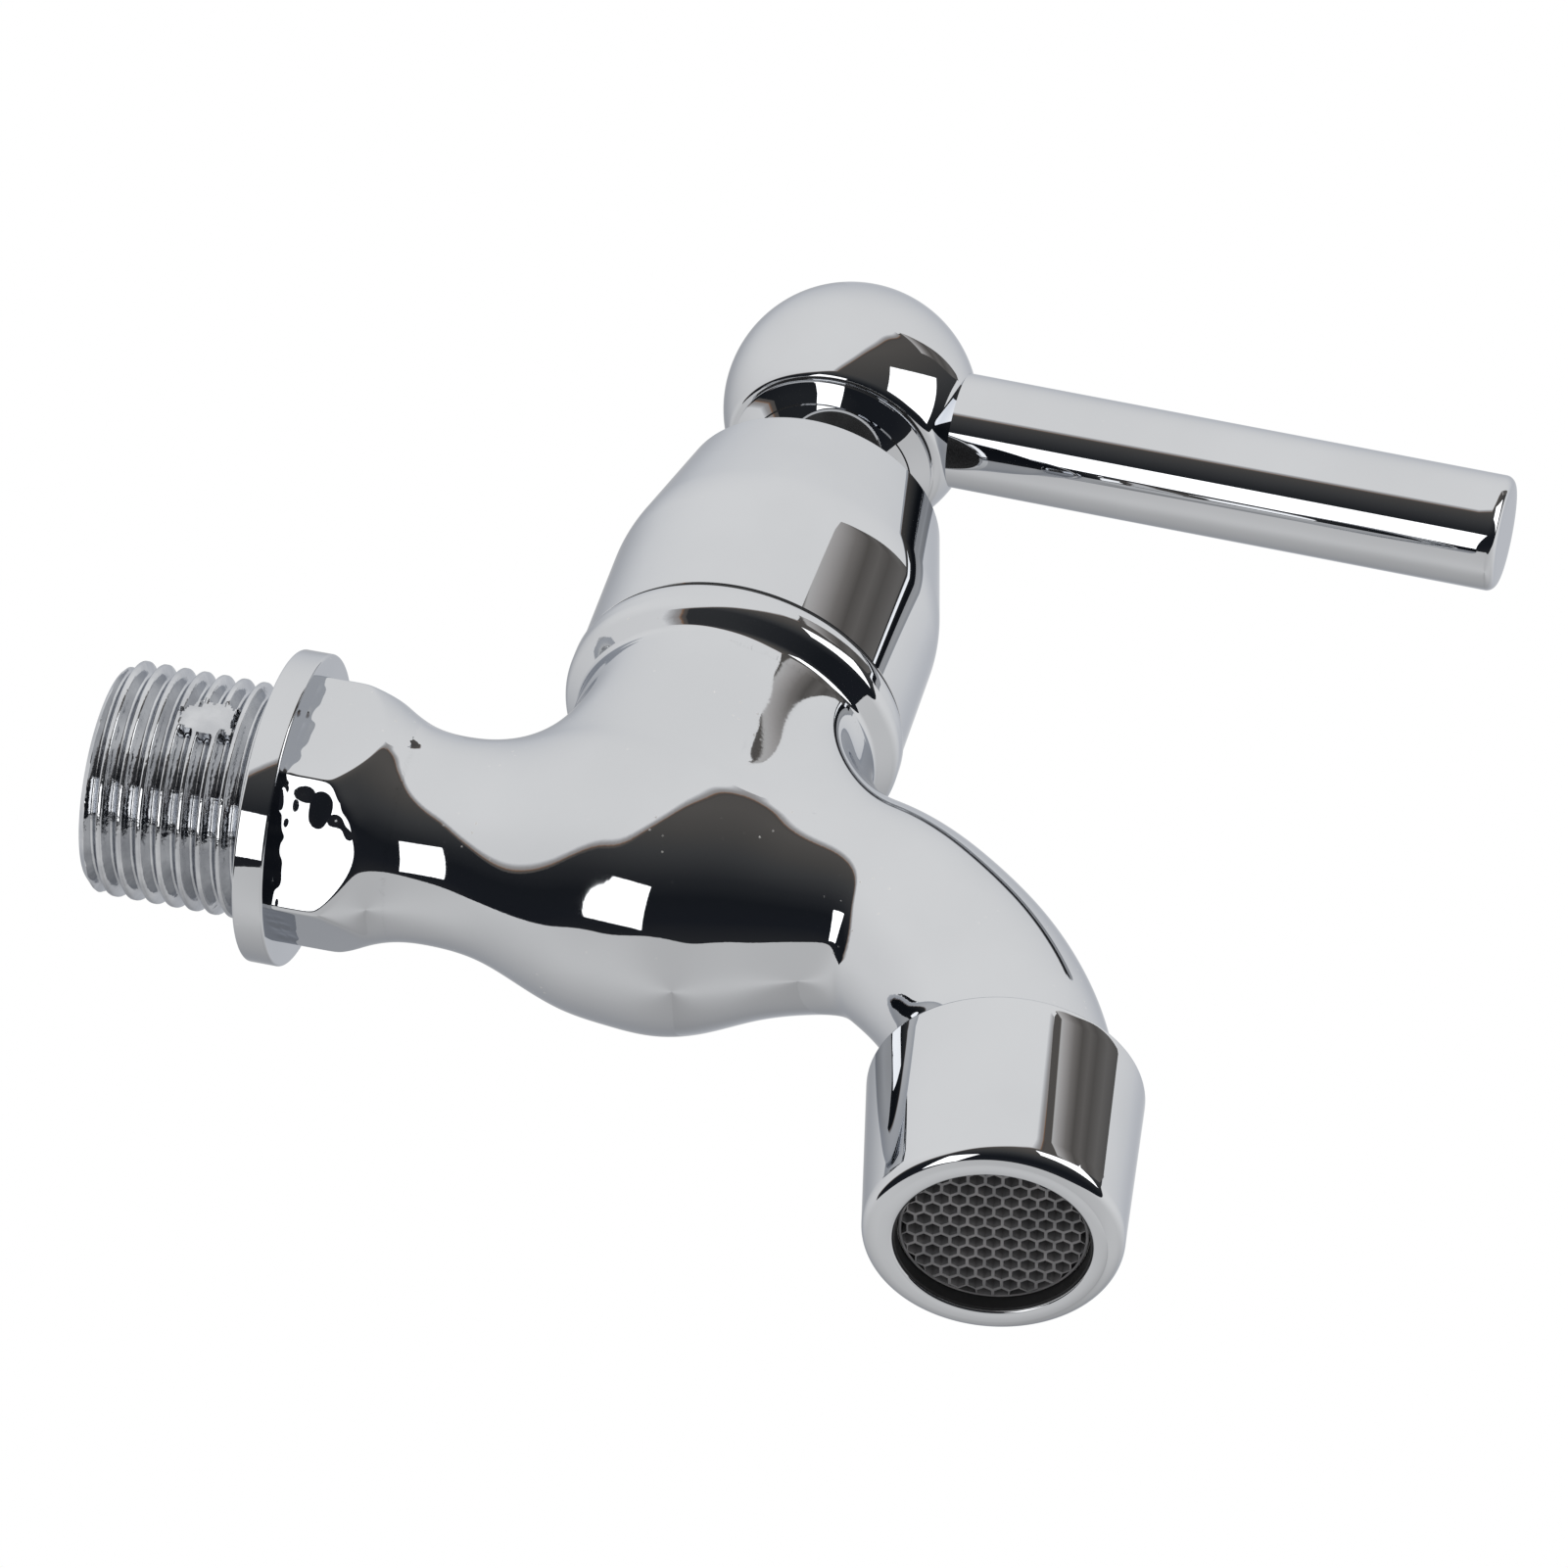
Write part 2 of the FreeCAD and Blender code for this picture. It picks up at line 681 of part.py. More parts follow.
def moving_disc():
    """The upper ceramic disc, with two ports and a slot that takes the spindle's foot."""
    low = "fixed_disc_z + fixed_disc_thick"
    high = low + " + moving_disc_thick"
    body = flat_ring("moving_ceramic_disc", None, "moving_disc_r", low, high)
    volume = settled_volume(body)
    pad(body, "moving_ports", "XY_Plane", low + " - past",
        lambda sketch: ports(sketch, False), "moving_disc_thick + 2 * past", cut=True)
    volume = removes(body, volume, "moving_ports")
    pad(body, "drive_slot", "XY_Plane", high + " - disc_slot_deep", lambda sketch: rectangle(
        sketch, "-spindle_foot_long / 2 - disc_slot_over", "spindle_foot_long / 2 + disc_slot_over",
        "-spindle_foot_wide / 2", "spindle_foot_wide / 2"), "2 * disc_slot_deep", cut=True)
    removes(body, volume, "drive_slot")
    return body


def ports(sketch, along_x):
    """Two round ports on opposite sides of the middle."""
    for side in ("", "-"):
        out = side + "disc_port_out"
        if along_x:
            circle(sketch, out, "0", "disc_port_r")
        else:
            circle(sketch, "0", out, "disc_port_r")


def spindle():
    """The spindle: a foot in the disc's slot, a shoulder, a sealed shank and a flat at the top."""
    body = new_body("spindle")
    foot_low = "fixed_disc_z + fixed_disc_thick + moving_disc_thick - disc_slot_deep"
    shoulder = "cavity_top - thrust_thick"
    groove_r = "spindle_r - 2 * spindle_seal_cord_r"
    half_groove = "(spindle_seal_cord_r + spindle_seal_slack)"
    corners = [("0", "spindle_disc_low"), ("spindle_disc_r", "spindle_disc_low"),
               ("spindle_disc_r", shoulder), ("spindle_r", shoulder)]
    for seal in ("seal_low_z", "seal_high_z"):
        below = seal + " - " + half_groove
        above = seal + " + " + half_groove
        corners += [("spindle_r", below), (groove_r, below), (groove_r, above),
                    ("spindle_r", above)]
    corners += [("spindle_r", "clip_z"), ("clip_bore_r", "clip_z"),
                ("clip_bore_r", "clip_z + clip_thick"), ("spindle_r", "clip_z + clip_thick"),
                ("spindle_r", "spindle_step_low"), ("spindle_top_r", "spindle_step_high"),
                ("spindle_top_r", "spindle_top_z - spindle_chamfer"),
                ("spindle_top_r - spindle_chamfer", "spindle_top_z"), ("0", "spindle_top_z")]
    revolve(body, "spindle_turned", straight(*corners))
    half = "spindle_foot_long / 2"
    pad(body, "spindle_foot", "XY_Plane", foot_low, lambda sketch: rectangle(
        sketch, "-(" + half + ")", half, "-spindle_foot_wide / 2", "spindle_foot_wide / 2"),
        "spindle_disc_low - (" + foot_low + ")")
    volume = settled_volume(body)
    pad(body, "lock_flat", "XY_Plane", "ball_z - stud_r - past", lambda sketch: rectangle(
        sketch, "stud_start", "spindle_top_r + past", "-spindle_top_r - past",
        "spindle_top_r + past"), "spindle_top_z - ball_z + stud_r + 2 * past", cut=True)
    removes(body, volume, "lock_flat")
    return on_valve(body)


def clip_ring():
    """The open retaining clip that holds the spindle in the cartridge."""
    body = flat_ring("spindle_clip", "clip_bore_r", "clip_r", "clip_z", "clip_z + clip_thick")
    volume = settled_volume(body)
    pad(body, "clip_gap", "XY_Plane", "clip_z - past", lambda sketch: rectangle(
        sketch, "-clip_r - past", "0", "-clip_gap_half", "clip_gap_half"),
        "clip_thick + 2 * past", cut=True)
    removes(body, volume, "clip_gap")
    return body


def handle_ball():
    """The handle's ball: flat below, bored for the spindle, with a spot face for the rod."""
    body = new_body("handle_ball")
    cut_r = "sqrt(ball_r * ball_r - (ball_z - ball_cut_z) * (ball_z - ball_cut_z))"
    revolve(body, "ball", [
        ("ring_spigot_r", "ball_cut_z", None), (cut_r, "ball_cut_z", ("ball_r", "left")),
        ("0", "ball_z + ball_r", None), ("0", "spindle_top_z", None),
        ("spindle_top_r", "spindle_top_z", None), ("spindle_top_r", "ring_spigot_top", None),
        ("ring_spigot_r", "ring_spigot_top", None)])
    rim = edges_where(body, lambda edge, box: (
        near(box.ZMax, "ball_cut_z") and near(box.XMax, cut_r)))
    dress(body, "Fillet", "ball_rim", rim, "Radius", "ball_edge")
    volume = settled_volume(body)
    face = pad(body, "spot_face", "YZ_Plane", "rod_start",
               lambda sketch: circle(sketch, "0", "0", "rod_r"), "spot_face_deep", cut=True)
    droop(face.Profile[0], "rod_start")
    volume = removes(body, volume, "spot_face")
    hole = pad(body, "stud_hole", "YZ_Plane", "stud_hole_start",
               lambda sketch: circle(sketch, "0", "0", "stud_r"), "rod_start", cut=True)
    droop(hole.Profile[0], "stud_hole_start")
    removes(body, volume, "stud_hole")
    return on_valve(body)


def droop(sketch, out):
    """Holds a sketch square to the lever's axis, at a distance out from the ball's middle."""
    turn = FreeCAD.Rotation(FreeCAD.Vector(1, 0, 0), number("rod_droop"))
    sketch.AttachmentOffset = FreeCAD.Placement(FreeCAD.Vector(0, 0, 0), turn)
    fall = "ball_z - (" + out + ") * sin(rod_droop * 1 deg)"
    reach = "(" + out + ") * cos(rod_droop * 1 deg)"
    sketch.setExpression(".AttachmentOffset.Base.y", cell(fall))
    sketch.setExpression(".AttachmentOffset.Base.z", cell(reach))


def neck_ring():
    """The stepped ring under the ball, with a spigot up into it and a foot above the cover."""
    body = new_body("handle_neck_ring")
    revolve(body, "stepped_ring", straight(
        ("spindle_top_r", "ring_foot_z"), ("ring_foot_r", "ring_foot_z"),
        ("ring_foot_r", "ring_low_z - ring_foot_step"), ("ring_low_r", "ring_low_z"),
        ("ring_mid_r - ring_step", "ring_mid_z"), ("ring_mid_r", "ring_mid_z"),
        ("ring_top_r", "ball_cut_z - ring_rim"), ("ring_top_r", "ball_cut_z"),
        ("ring_spigot_r", "ball_cut_z"), ("ring_spigot_r", "ring_spigot_top"),
        ("spindle_top_r", "ring_spigot_top")))
    return on_valve(body)


def lever_rod():
    """The round lever rod, with a blind hole for the stud and a rounded free end."""
    body = new_body("lever_rod")
    revolve(body, "rod", straight(
        ("rod_start", "stud_r"), ("rod_start", "rod_r"), ("rod_end", "rod_r"),
        ("rod_end", "0"), ("stud_end", "0"), ("stud_end", "stud_r")), axis="H_Axis")
    rim = edges_where(body, lambda edge, box: (
        near(box.XMin, "rod_end") and near(box.YMax, "rod_r")))
    dress(body, "Fillet", "rod_end_round", rim, "Radius", "rod_edge")
    return on_lever(body)


def on_lever(body):
    """Puts a sub-part on the lever's axis, with its X counted from the valve axis."""
    place = FreeCAD.Vector(number("valve_x"), 0, number("ball_z"))
    turn = FreeCAD.Rotation(FreeCAD.Vector(0, 1, 0), number("rod_droop"))
    body.Placement = FreeCAD.Placement(place, turn)
    body.setExpression(".Placement.Base.x", cell("valve_x"))
    body.setExpression(".Placement.Base.z", cell("ball_z"))
    return body


def lever_stud():
    """The stud that joins rod and ball and locks on the spindle's flat."""
    body = new_body("lever_stud")
    revolve(body, "stud", straight(
        ("stud_start", "0"), ("stud_start", "stud_r - stud_chamfer"),
        ("stud_start + stud_chamfer", "stud_r"),
        ("stud_end", "stud_r"), ("stud_end", "0")), axis="H_Axis")
    return on_lever(body)


def aerator_housing():
    """The chromed sleeve screwed on the spout, tapered, with a rounded mouth."""
    body = new_body("aerator_housing")
    revolve(body, "sleeve", straight(
        ("spout_thread_r", "-housing_top"), ("spout_thread_r", "-aerator_ledge"),
        ("aerator_seat_r", "-aerator_ledge"), ("aerator_seat_r", "-lip_inside"),
        ("housing_mouth_r", "-lip_inside"), ("housing_mouth_r", "-housing_end"),
        ("housing_end_r", "-housing_end"), ("housing_top_r", "-housing_top - housing_edge"),
        ("housing_top_r - housing_edge", "-housing_top")))
    rim = edges_where(body, lambda edge, box: (
        near(box.ZMax, "-housing_end") and near(box.XMax, "housing_end_r")))
    dress(body, "Fillet", "mouth_round", rim, "Radius", "housing_round")
    return on_outlet(body)


def aerator_jacket():
    """The insert's plastic cup, hung by its flange on the housing's ledge."""
    body = new_body("aerator_jacket")
    top = "-spout_thread_end - aerator_washer_thick"
    inside = "jacket_r - jacket_wall"
    revolve(body, "cup", straight(
        (inside, top), ("jacket_flange_r", top), ("jacket_flange_r", "-aerator_ledge"),
        ("jacket_r", "-aerator_ledge"), ("jacket_r", "-jacket_end"), (inside, "-jacket_end")))
    return on_outlet(body)


def honeycomb():
    """The flow straightener: a plastic disc filled with rows of hexagonal cells."""
    body = flat_ring("aerator_honeycomb", None, "honeycomb_r", "-honeycomb_face",
                     "honeycomb_thick - honeycomb_face", place=on_outlet)
    volume = settled_volume(body)
    pad(body, "cells", "XY_Plane", "-honeycomb_face - past", draw_cells,
        "honeycomb_thick + 2 * past", cut=True)
    removes(body, volume, "cells")
    return body


def draw_cells(sketch):
    """Hexagons in staggered, slightly turned rows, each whole inside the disc's rim."""
    pitch = number("cell_pitch")
    rise = pitch * math.sqrt(3) / 2
    corner = number("cell_flats") / math.sqrt(3)
    reach = number("honeycomb_r - honeycomb_rim") - corner
    turned = FreeCAD.Rotation(FreeCAD.Vector(0, 0, 1), number("cell_turn"))
    spokes = [FreeCAD.Rotation(FreeCAD.Vector(0, 0, 1), 60 * side).multVec(
        FreeCAD.Vector(0, corner, 0)) for side in range(7)]
    rows = int(reach / rise) + 1
    for line in range(-rows, rows + 1):
        for step in range(-rows, rows + 1):
            middle = FreeCAD.Vector((step + (line % 2) / 2) * pitch, line * rise, 0)
            if middle.Length > reach:
                continue
            ring = [turned.multVec(middle + spoke) for spoke in spokes]
            for start, end in zip(ring, ring[1:]):
                sketch.addGeometry(Part.LineSegment(start, end), False)


def diffuser():
    """The perforated plate that splits the jet at the top of the insert."""
    high = "-aerator_ledge - diffuser_drop"
    low = high + " - diffuser_thick"
    body = flat_ring("aerator_diffuser", None, "jacket_r - jacket_wall", low, high,
                     place=on_outlet)
    volume = settled_volume(body)
    pad(body, "jet_hole", "XY_Plane", low + " - past",
        lambda sketch: circle(sketch, "diffuser_ring_r", "0", "diffuser_hole_r"),
        "diffuser_thick + 2 * past", cut=True)
    volume = removes(body, volume, "jet_hole")
    pattern = body.newObject("PartDesign::PolarPattern", "jet_holes")
    pattern.Originals = [body.Tip]
    pattern.Axis = (origin_feature(body, "Z_Axis"), [""])
    pattern.Angle = 360
    pattern.Occurrences = JET_HOLES
    body.Tip = pattern
    removes(body, volume, "jet_holes")
    return body


def screens():
    """Two fine screens between the diffuser and the honeycomb."""
    pieces = []
    above = "honeycomb_thick - honeycomb_face"
    for index, name in enumerate(("aerator_screen_lower", "aerator_screen_upper")):
        low = above + " + " + str(index) + " * screen_gap"
        pieces.append(flat_ring(name, None, "honeycomb_r", low, low + " + screen_thick",
                                place=on_outlet))
    return pieces


pieces = [
    tap_body(),
    bonnet_cover(),
    cartridge_body(),
    seal_ring("cartridge_seal", "chamber_r - body_seal_cord_r", "body_seal_z", "body_seal_cord_r"),
    flat_ring("seat_washer", "washer_bore_r", "washer_r", "seat_z", "fixed_disc_z"),
    fixed_disc(),
    moving_disc(),
    spindle(),
    flat_ring("thrust_washer", "spindle_bore_r", "thrust_r", "cavity_top - thrust_thick",
              "cavity_top"),
    seal_ring("spindle_seal_lower", "spindle_r - spindle_seal_cord_r", "seal_low_z",
              "spindle_seal_cord_r"),
    seal_ring("spindle_seal_upper", "spindle_r - spindle_seal_cord_r", "seal_high_z",
              "spindle_seal_cord_r"),
    clip_ring(),
    handle_ball(),
    neck_ring(),
    lever_rod(),
    lever_stud(),
    aerator_housing(),
    flat_ring("aerator_washer", "aerator_washer_bore_r", "aerator_washer_r",
              "-spout_thread_end - aerator_washer_thick", "-spout_thread_end", place=on_outlet),
    aerator_jacket(),
    honeycomb(),
    diffuser(),
] + screens()

doc.recompute()
for item in doc.Objects:
    for word in ("Invalid", "Error"):
        if word in item.State:
            raise RuntimeError(item.Name + " is " + word)
for piece in pieces:
    shape = piece.Shape
    if shape.isNull() or not shape.isValid():
        raise RuntimeError(piece.Label + " has no valid shape")
    if len(shape.Solids) != 1:
        raise RuntimeError(piece.Label + " has %d solids" % len(shape.Solids))
for piece in pieces:
    piece.Shape.exportStep("parts/" + piece.Label + ".step")
    box = piece.Shape.BoundBox
    print("%-22s %9.1f mm3  x %6.2f..%6.2f  z %6.2f..%6.2f" % (
        piece.Label, piece.Shape.Volume, box.XMin, box.XMax, box.ZMin, box.ZMax))
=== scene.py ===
# %% [markdown]
# # A chromed wall tap for a washing machine
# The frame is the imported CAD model, and every piece here is made round it in the same axes: +X
# along the inlet to the spout, +Z up the valve axis, y = 0 the mirror plane. The steps are sizes,
# surface effects, materials, the casting, the turned pieces, the thread and the aerator, and last
# the studio, which a mirror-like object needs as much as its shape.

# %% Load the frame
import functools
import math
import bpy
import numpy as np
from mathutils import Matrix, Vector


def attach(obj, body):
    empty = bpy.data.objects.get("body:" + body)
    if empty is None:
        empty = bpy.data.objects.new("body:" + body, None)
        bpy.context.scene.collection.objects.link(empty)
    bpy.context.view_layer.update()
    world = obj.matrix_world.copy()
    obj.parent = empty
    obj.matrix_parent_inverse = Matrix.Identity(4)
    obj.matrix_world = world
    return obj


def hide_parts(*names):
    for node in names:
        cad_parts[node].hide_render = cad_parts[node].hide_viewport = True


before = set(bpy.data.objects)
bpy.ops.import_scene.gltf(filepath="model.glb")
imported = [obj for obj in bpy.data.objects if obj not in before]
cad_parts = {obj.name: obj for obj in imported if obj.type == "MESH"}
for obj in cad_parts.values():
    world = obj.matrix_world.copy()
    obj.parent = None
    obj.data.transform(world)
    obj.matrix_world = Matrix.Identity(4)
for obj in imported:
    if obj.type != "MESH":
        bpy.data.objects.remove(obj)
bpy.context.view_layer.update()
MM = 0.001

# %% [markdown]
# ## Sizes
# A maker's drawing gives each size once, and so does this cell for the main ones, in millimetres,
# mostly with the values that drive the CAD model. Typing them at each piece would be quicker, but
# then a cover and the collar under it could drift apart. Heights are along the valve axis, outlet
# sizes along the outlet's own axis.

# %% Sizes of the tap
VALVE_X = 36.17
OUTLET_X, OUTLET_TILT = 67.12, 10.0
THREAD_R, THREAD_LENGTH, THREAD_PITCH, THREAD_DEPTH = 10.4775, 15.25, 1.8143, 1.05
THREAD_CHAMFER, INLET_BORE_R = 0.9, 6.5
FLANGE_R, FLANGE_THICK = 13.95, 2.78
HEXAGON_FLATS, HEXAGON_END = 21.5, 12.8
NECK_R, NECK_BLEND_R, SEAT_Z = 13.6, 7.5, 0.5
SIDE_BLEND, SIDE_FROM, SIDE_WIDTH = 13.0, 5.0, 7.0
COLLAR_R, COLLAR_FOOT, COLLAR_TOP = 15.3, 16.0, 21.36
COLLAR_CONE_LOW, COLLAR_CONE_HIGH = 17.35, 19.1
JOINT_GAP, COVER_BORE_R = 0.36, 11.2
COVER_R, COVER_TOP_R, COVER_CONE_Z, COVER_TOP_Z = 15.05, 12.12, 35.4, 47.66
COVER_SHOULDER_R, COVER_EDGE, COVER_HOLE_R = 16.0, 0.45, 5.0
RING_FOOT, STEM_BORE_R = 48.06, 3.7
BALL_Z, BALL_R, BALL_CUT_Z, BALL_RIM = 62.26, 11.7, 55.7, 0.3
ROD_R, ROD_START, ROD_END, ROD_DROOP = 5.3, 8.75, 61.5, 1.55
HOUSING_TOP, HOUSING_TOP_R, HOUSING_END, HOUSING_END_R = 18.32, 11.95, 35.95, 11.1
HOUSING_MOUTH_R = 8.45
COMB_FACE, COMB_THICK, COMB_R, CELL_PITCH = 34.55, 2.2, 8.1, 1.47

# The run's sections from the flange to the spout: x, height, dip of the path in degrees, radius
RUN = np.array([
    (2.78, 0.0, 0.0, 13.6), (7.1, 0.0, 0.0, 12.35), (9.9, -0.2, 0.0, 10.75),
    (12.8, -0.5, 0.0, 9.6), (16.0, -0.6, 0.0, 9.32), (20.5, -0.5, 0.0, 9.95),
    (24.5, -0.2, 0.0, 11.65), (28.5, 0.1, 0.0, 13.27), (32.5, 0.2, 0.0, 13.95),
    (36.5, 0.0, 0.0, 14.0), (41.0, -0.1, 0.0, 12.95), (45.5, 0.2, 0.0, 11.2),
    (50.0, 0.6, 1.0, 10.18), (54.6, 0.2, 12.0, 9.6), (59.0, -2.2, 32.0, 9.3),
    (63.3, -5.8, 45.0, 9.25), (67.2, -10.5, 58.0, 9.2),
    (69.6, -15.2, 74.0, 9.35), (70.3, -18.3, 80.0, 9.8)])
print("sections of the run:", len(RUN))

# %% [markdown]
# ## Helpers
# Materials and Geometry Nodes are both trees of nodes with links. They could be wired by hand in
# the editor. Here a few helpers do it, so that each tree below reads like a short recipe.

# %% Helpers for objects and node trees
def add_object(name, data):
    """A new object in the scene."""
    thing = bpy.data.objects.new(name, data)
    bpy.context.scene.collection.objects.link(thing)
    return thing


def add_node(tree, kind, sockets=None, **settings):
    """A new node with its settings; sockets gives its inputs plain values or other outputs."""
    node = tree.nodes.new(kind)
    for title, value in settings.items():
        setattr(node, title, value)
    for title, value in (sockets or {}).items():
        if isinstance(value, bpy.types.NodeSocket):
            tree.links.new(value, node.inputs[title])
        else:
            node.inputs[title].default_value = value
    return node


# %% Short ways to make the nodes used most
def math_node(tree, operation, *values):
    """The result of a Math node on values or sockets."""
    return add_node(tree, "ShaderNodeMath", dict(enumerate(values)), operation=operation).outputs[0]


def makers(tree):
    """The two helpers above for one tree: calc for Math nodes, add for any other."""
    return functools.partial(math_node, tree), functools.partial(add_node, tree)


def mix_node(tree, share, first, second):
    """A mix of two colours by a share."""
    return add_node(tree, "ShaderNodeMix", {"Factor": share, "A": first, "B": second},
                    data_type="RGBA").outputs["Result"]


def range_node(tree, value, low, high, to_low=0.0, to_high=1.0):
    """A value mapped from one range to another, smoothly and without overshoot."""
    return add_node(tree, "ShaderNodeMapRange", {
        "Value": value, "From Min": low, "From Max": high, "To Min": to_low, "To Max": to_high},
        interpolation_type="SMOOTHSTEP").outputs["Result"]


# %% A tree with named sockets
def new_tree(name, kind, inputs, outputs):
    """A tree with named sockets (title, type, value); returns it, its input and output nodes."""
    tree = bpy.data.node_groups.new(name, kind)
    for title, socket_type, value in inputs:
        socket = tree.interface.new_socket(title, in_out="INPUT",
                                           socket_type="NodeSocket" + socket_type)
        if value is not None:
            socket.default_value = value
    for title, socket_type in outputs:
        tree.interface.new_socket(title, in_out="OUTPUT", socket_type="NodeSocket" + socket_type)
    return tree, tree.nodes.new("NodeGroupInput"), tree.nodes.new("NodeGroupOutput")


# %% [markdown]
# ## Shared surface effects
# Chrome is a mirror, so what makes it look real is small: plating that is a little uneven, a
# casting that was polished by hand and waves faintly, and some dust. Painted pictures could show
# this, but they blur close up and need unwrapping. Each effect is a shader node group on Object
# coordinates instead, with named inputs, built once and set in every material.

# %% Group: the tone of the plating
def noise_node(tree, scale, detail=2.0, roughness=0.5):
    """A noise texture on Object coordinates."""
    place = add_node(tree, "ShaderNodeTexCoord")
    return add_node(tree, "ShaderNodeTexNoise", {
        "Vector": place.outputs["Object"], "Scale": scale, "Detail": detail,
        "Roughness": roughness}).outputs["Fac"]


def tone_group():
    """Mixes two near tones by a soft noise, and gives the same noise for the roughness."""
    tree, start, end = new_tree(
        "plating_tone", "ShaderNodeTree",
        [("Light", "Color", None), ("Dark", "Color", None), ("Size", "Float", 40.0)],
        [("Color", "Color"), ("Mask", "Float")])
    mask = range_node(tree, noise_node(tree, start.outputs["Size"], 4.0, 0.55), 0.3, 0.7)
    tree.links.new(mix_node(tree, mask, start.outputs["Light"], start.outputs["Dark"]),
                   end.inputs["Color"])
    tree.links.new(mask, end.inputs["Mask"])
    return tree


# %% [markdown]
# ### Waves
# A casting polished by hand is never quite even. Moving its corners would need a very fine mesh,
# so the slow waves and the fine grain are only a height that bends the light.

# %% Group: the waviness of the surface
def wave_group():
    """A height made of slow waves and a fine grain, for a Bump node."""
    tree, start, end = new_tree(
        "surface_wave", "ShaderNodeTree",
        [("Wave size", "Float", 90.0), ("Grain size", "Float", 3000.0),
         ("Grain share", "Float", 0.05)], [("Height", "Float")])
    slow = noise_node(tree, start.outputs["Wave size"], 1.0)
    fine = noise_node(tree, start.outputs["Grain size"])
    tree.links.new(math_node(tree, "MULTIPLY_ADD", fine, start.outputs["Grain share"], slow),
                   end.inputs["Height"])
    return tree


# %% [markdown]
# ### Dust
# Dust lies on the chrome as fine pale specks, more in some places than in others. Scattered
# grains would cost many faces for hardly a pixel each, so the specks are a mask.

# %% Group: dust specks
def dust_group():
    """A mask of sparse fine specks: cells of a Voronoi pattern, kept where a noise is high."""
    tree, start, end = new_tree(
        "dust_specks", "ShaderNodeTree", [("Size", "Float", 900.0), ("Amount", "Float", 0.5)],
        [("Mask", "Float")])
    place = add_node(tree, "ShaderNodeTexCoord")
    cells = add_node(tree, "ShaderNodeTexVoronoi", {
        "Vector": place.outputs["Object"], "Scale": start.outputs["Size"]})
    speck = range_node(tree, cells.outputs["Distance"], 0.05, 0.16, 1.0, 0.0)
    patch = range_node(tree, noise_node(tree, 120.0, 3.0), 0.52, 0.72, 0.0, start.outputs["Amount"])
    tree.links.new(math_node(tree, "MULTIPLY", speck, patch), end.inputs["Mask"])
    return tree


TONE, WAVE, DUST = tone_group(), wave_group(), dust_group()
print("node groups:", TONE.name, WAVE.name, DUST.name)

# %% [markdown]
# ## Materials
# Polished chrome returns a little over half of the light, with a cool tint, so a white studio
# looks light grey in it. Metal, rubber, ceramic and plastic could each have a tree of their own.
# One recipe with other numbers keeps them equally detailed and easy to compare.

# %% The material recipe
DUST_COLOUR, DUST_ROUGHNESS = (0.75, 0.74, 0.72, 1), 0.5


def finish_material(name, light, dark, metallic, roughness, tone_size=40.0, wave=0.0,
                    wave_size=90.0, grain=0.05, grain_size=3000.0, dust=0.0, edge=(1.0, 1.0, 1.0)):
    """A Principled material with an uneven tone, a wavy or grainy surface and specks of dust."""
    material = bpy.data.materials.new(name)
    material.use_nodes = True
    tree = material.node_tree
    shader = tree.nodes["Principled BSDF"]
    shader.inputs["Metallic"].default_value = metallic
    shader.inputs["Specular Tint"].default_value = (*edge, 1)
    tone = add_node(tree, "ShaderNodeGroup", {
        "Light": (*light, 1), "Dark": (*dark, 1), "Size": tone_size}, node_tree=TONE)
    specks = add_node(tree, "ShaderNodeGroup", {"Amount": dust}, node_tree=DUST).outputs["Mask"]
    tree.links.new(mix_node(tree, specks, tone.outputs["Color"], DUST_COLOUR),
                   shader.inputs["Base Color"])
    uneven = range_node(tree, tone.outputs["Mask"], 0.0, 1.0, *roughness)
    tree.links.new(math_node(tree, "MULTIPLY_ADD", specks, DUST_ROUGHNESS, uneven),
                   shader.inputs["Roughness"])
    if wave:
        height = add_node(tree, "ShaderNodeGroup", {
            "Wave size": wave_size, "Grain size": grain_size, "Grain share": grain}, node_tree=WAVE)
        bump = add_node(tree, "ShaderNodeBump", {
            "Distance": wave, "Height": height.outputs["Height"]})
        tree.links.new(bump.outputs["Normal"], shader.inputs["Normal"])
    return material


# %% [markdown]
# ### Finishes
# The casting is polished by hand, the turned pieces by machine and so smoother, and the thread
# stays rough between its ridges. Each is the one recipe with its own numbers.

# %% The finishes of this tap
CHROME_LIGHT, CHROME_DARK = (0.625, 0.635, 0.65), (0.59, 0.6, 0.615)
CHROME_EDGE = (0.64, 0.66, 0.7)
cast_chrome = finish_material("cast_chrome", CHROME_LIGHT, CHROME_DARK, 1.0, (0.015, 0.035),
                              wave=2.0e-5, wave_size=110.0, grain=0.03, dust=0.9, edge=CHROME_EDGE)
turned_chrome = finish_material("turned_chrome", CHROME_LIGHT, CHROME_DARK, 1.0, (0.01, 0.02),
                                dust=0.12, edge=CHROME_EDGE)
thread_chrome = finish_material("thread_chrome", CHROME_LIGHT, (0.5, 0.51, 0.53), 1.0,
                                (0.06, 0.16), tone_size=300.0, wave=6.0e-5, wave_size=700.0,
                                grain=0.3, dust=0.2, edge=CHROME_EDGE)
brass = finish_material("machined_brass", (0.78, 0.60, 0.30), (0.66, 0.49, 0.23), 1.0, (0.18, 0.3),
                        wave=2.0e-5, wave_size=900.0)
steel = finish_material("plain_steel", (0.56, 0.56, 0.57), (0.45, 0.45, 0.46), 1.0, (0.2, 0.35),
                        wave=2.0e-5, wave_size=900.0)
ceramic = finish_material("lapped_ceramic", (0.86, 0.84, 0.78), (0.8, 0.78, 0.72), 0.0, (0.2, 0.3))
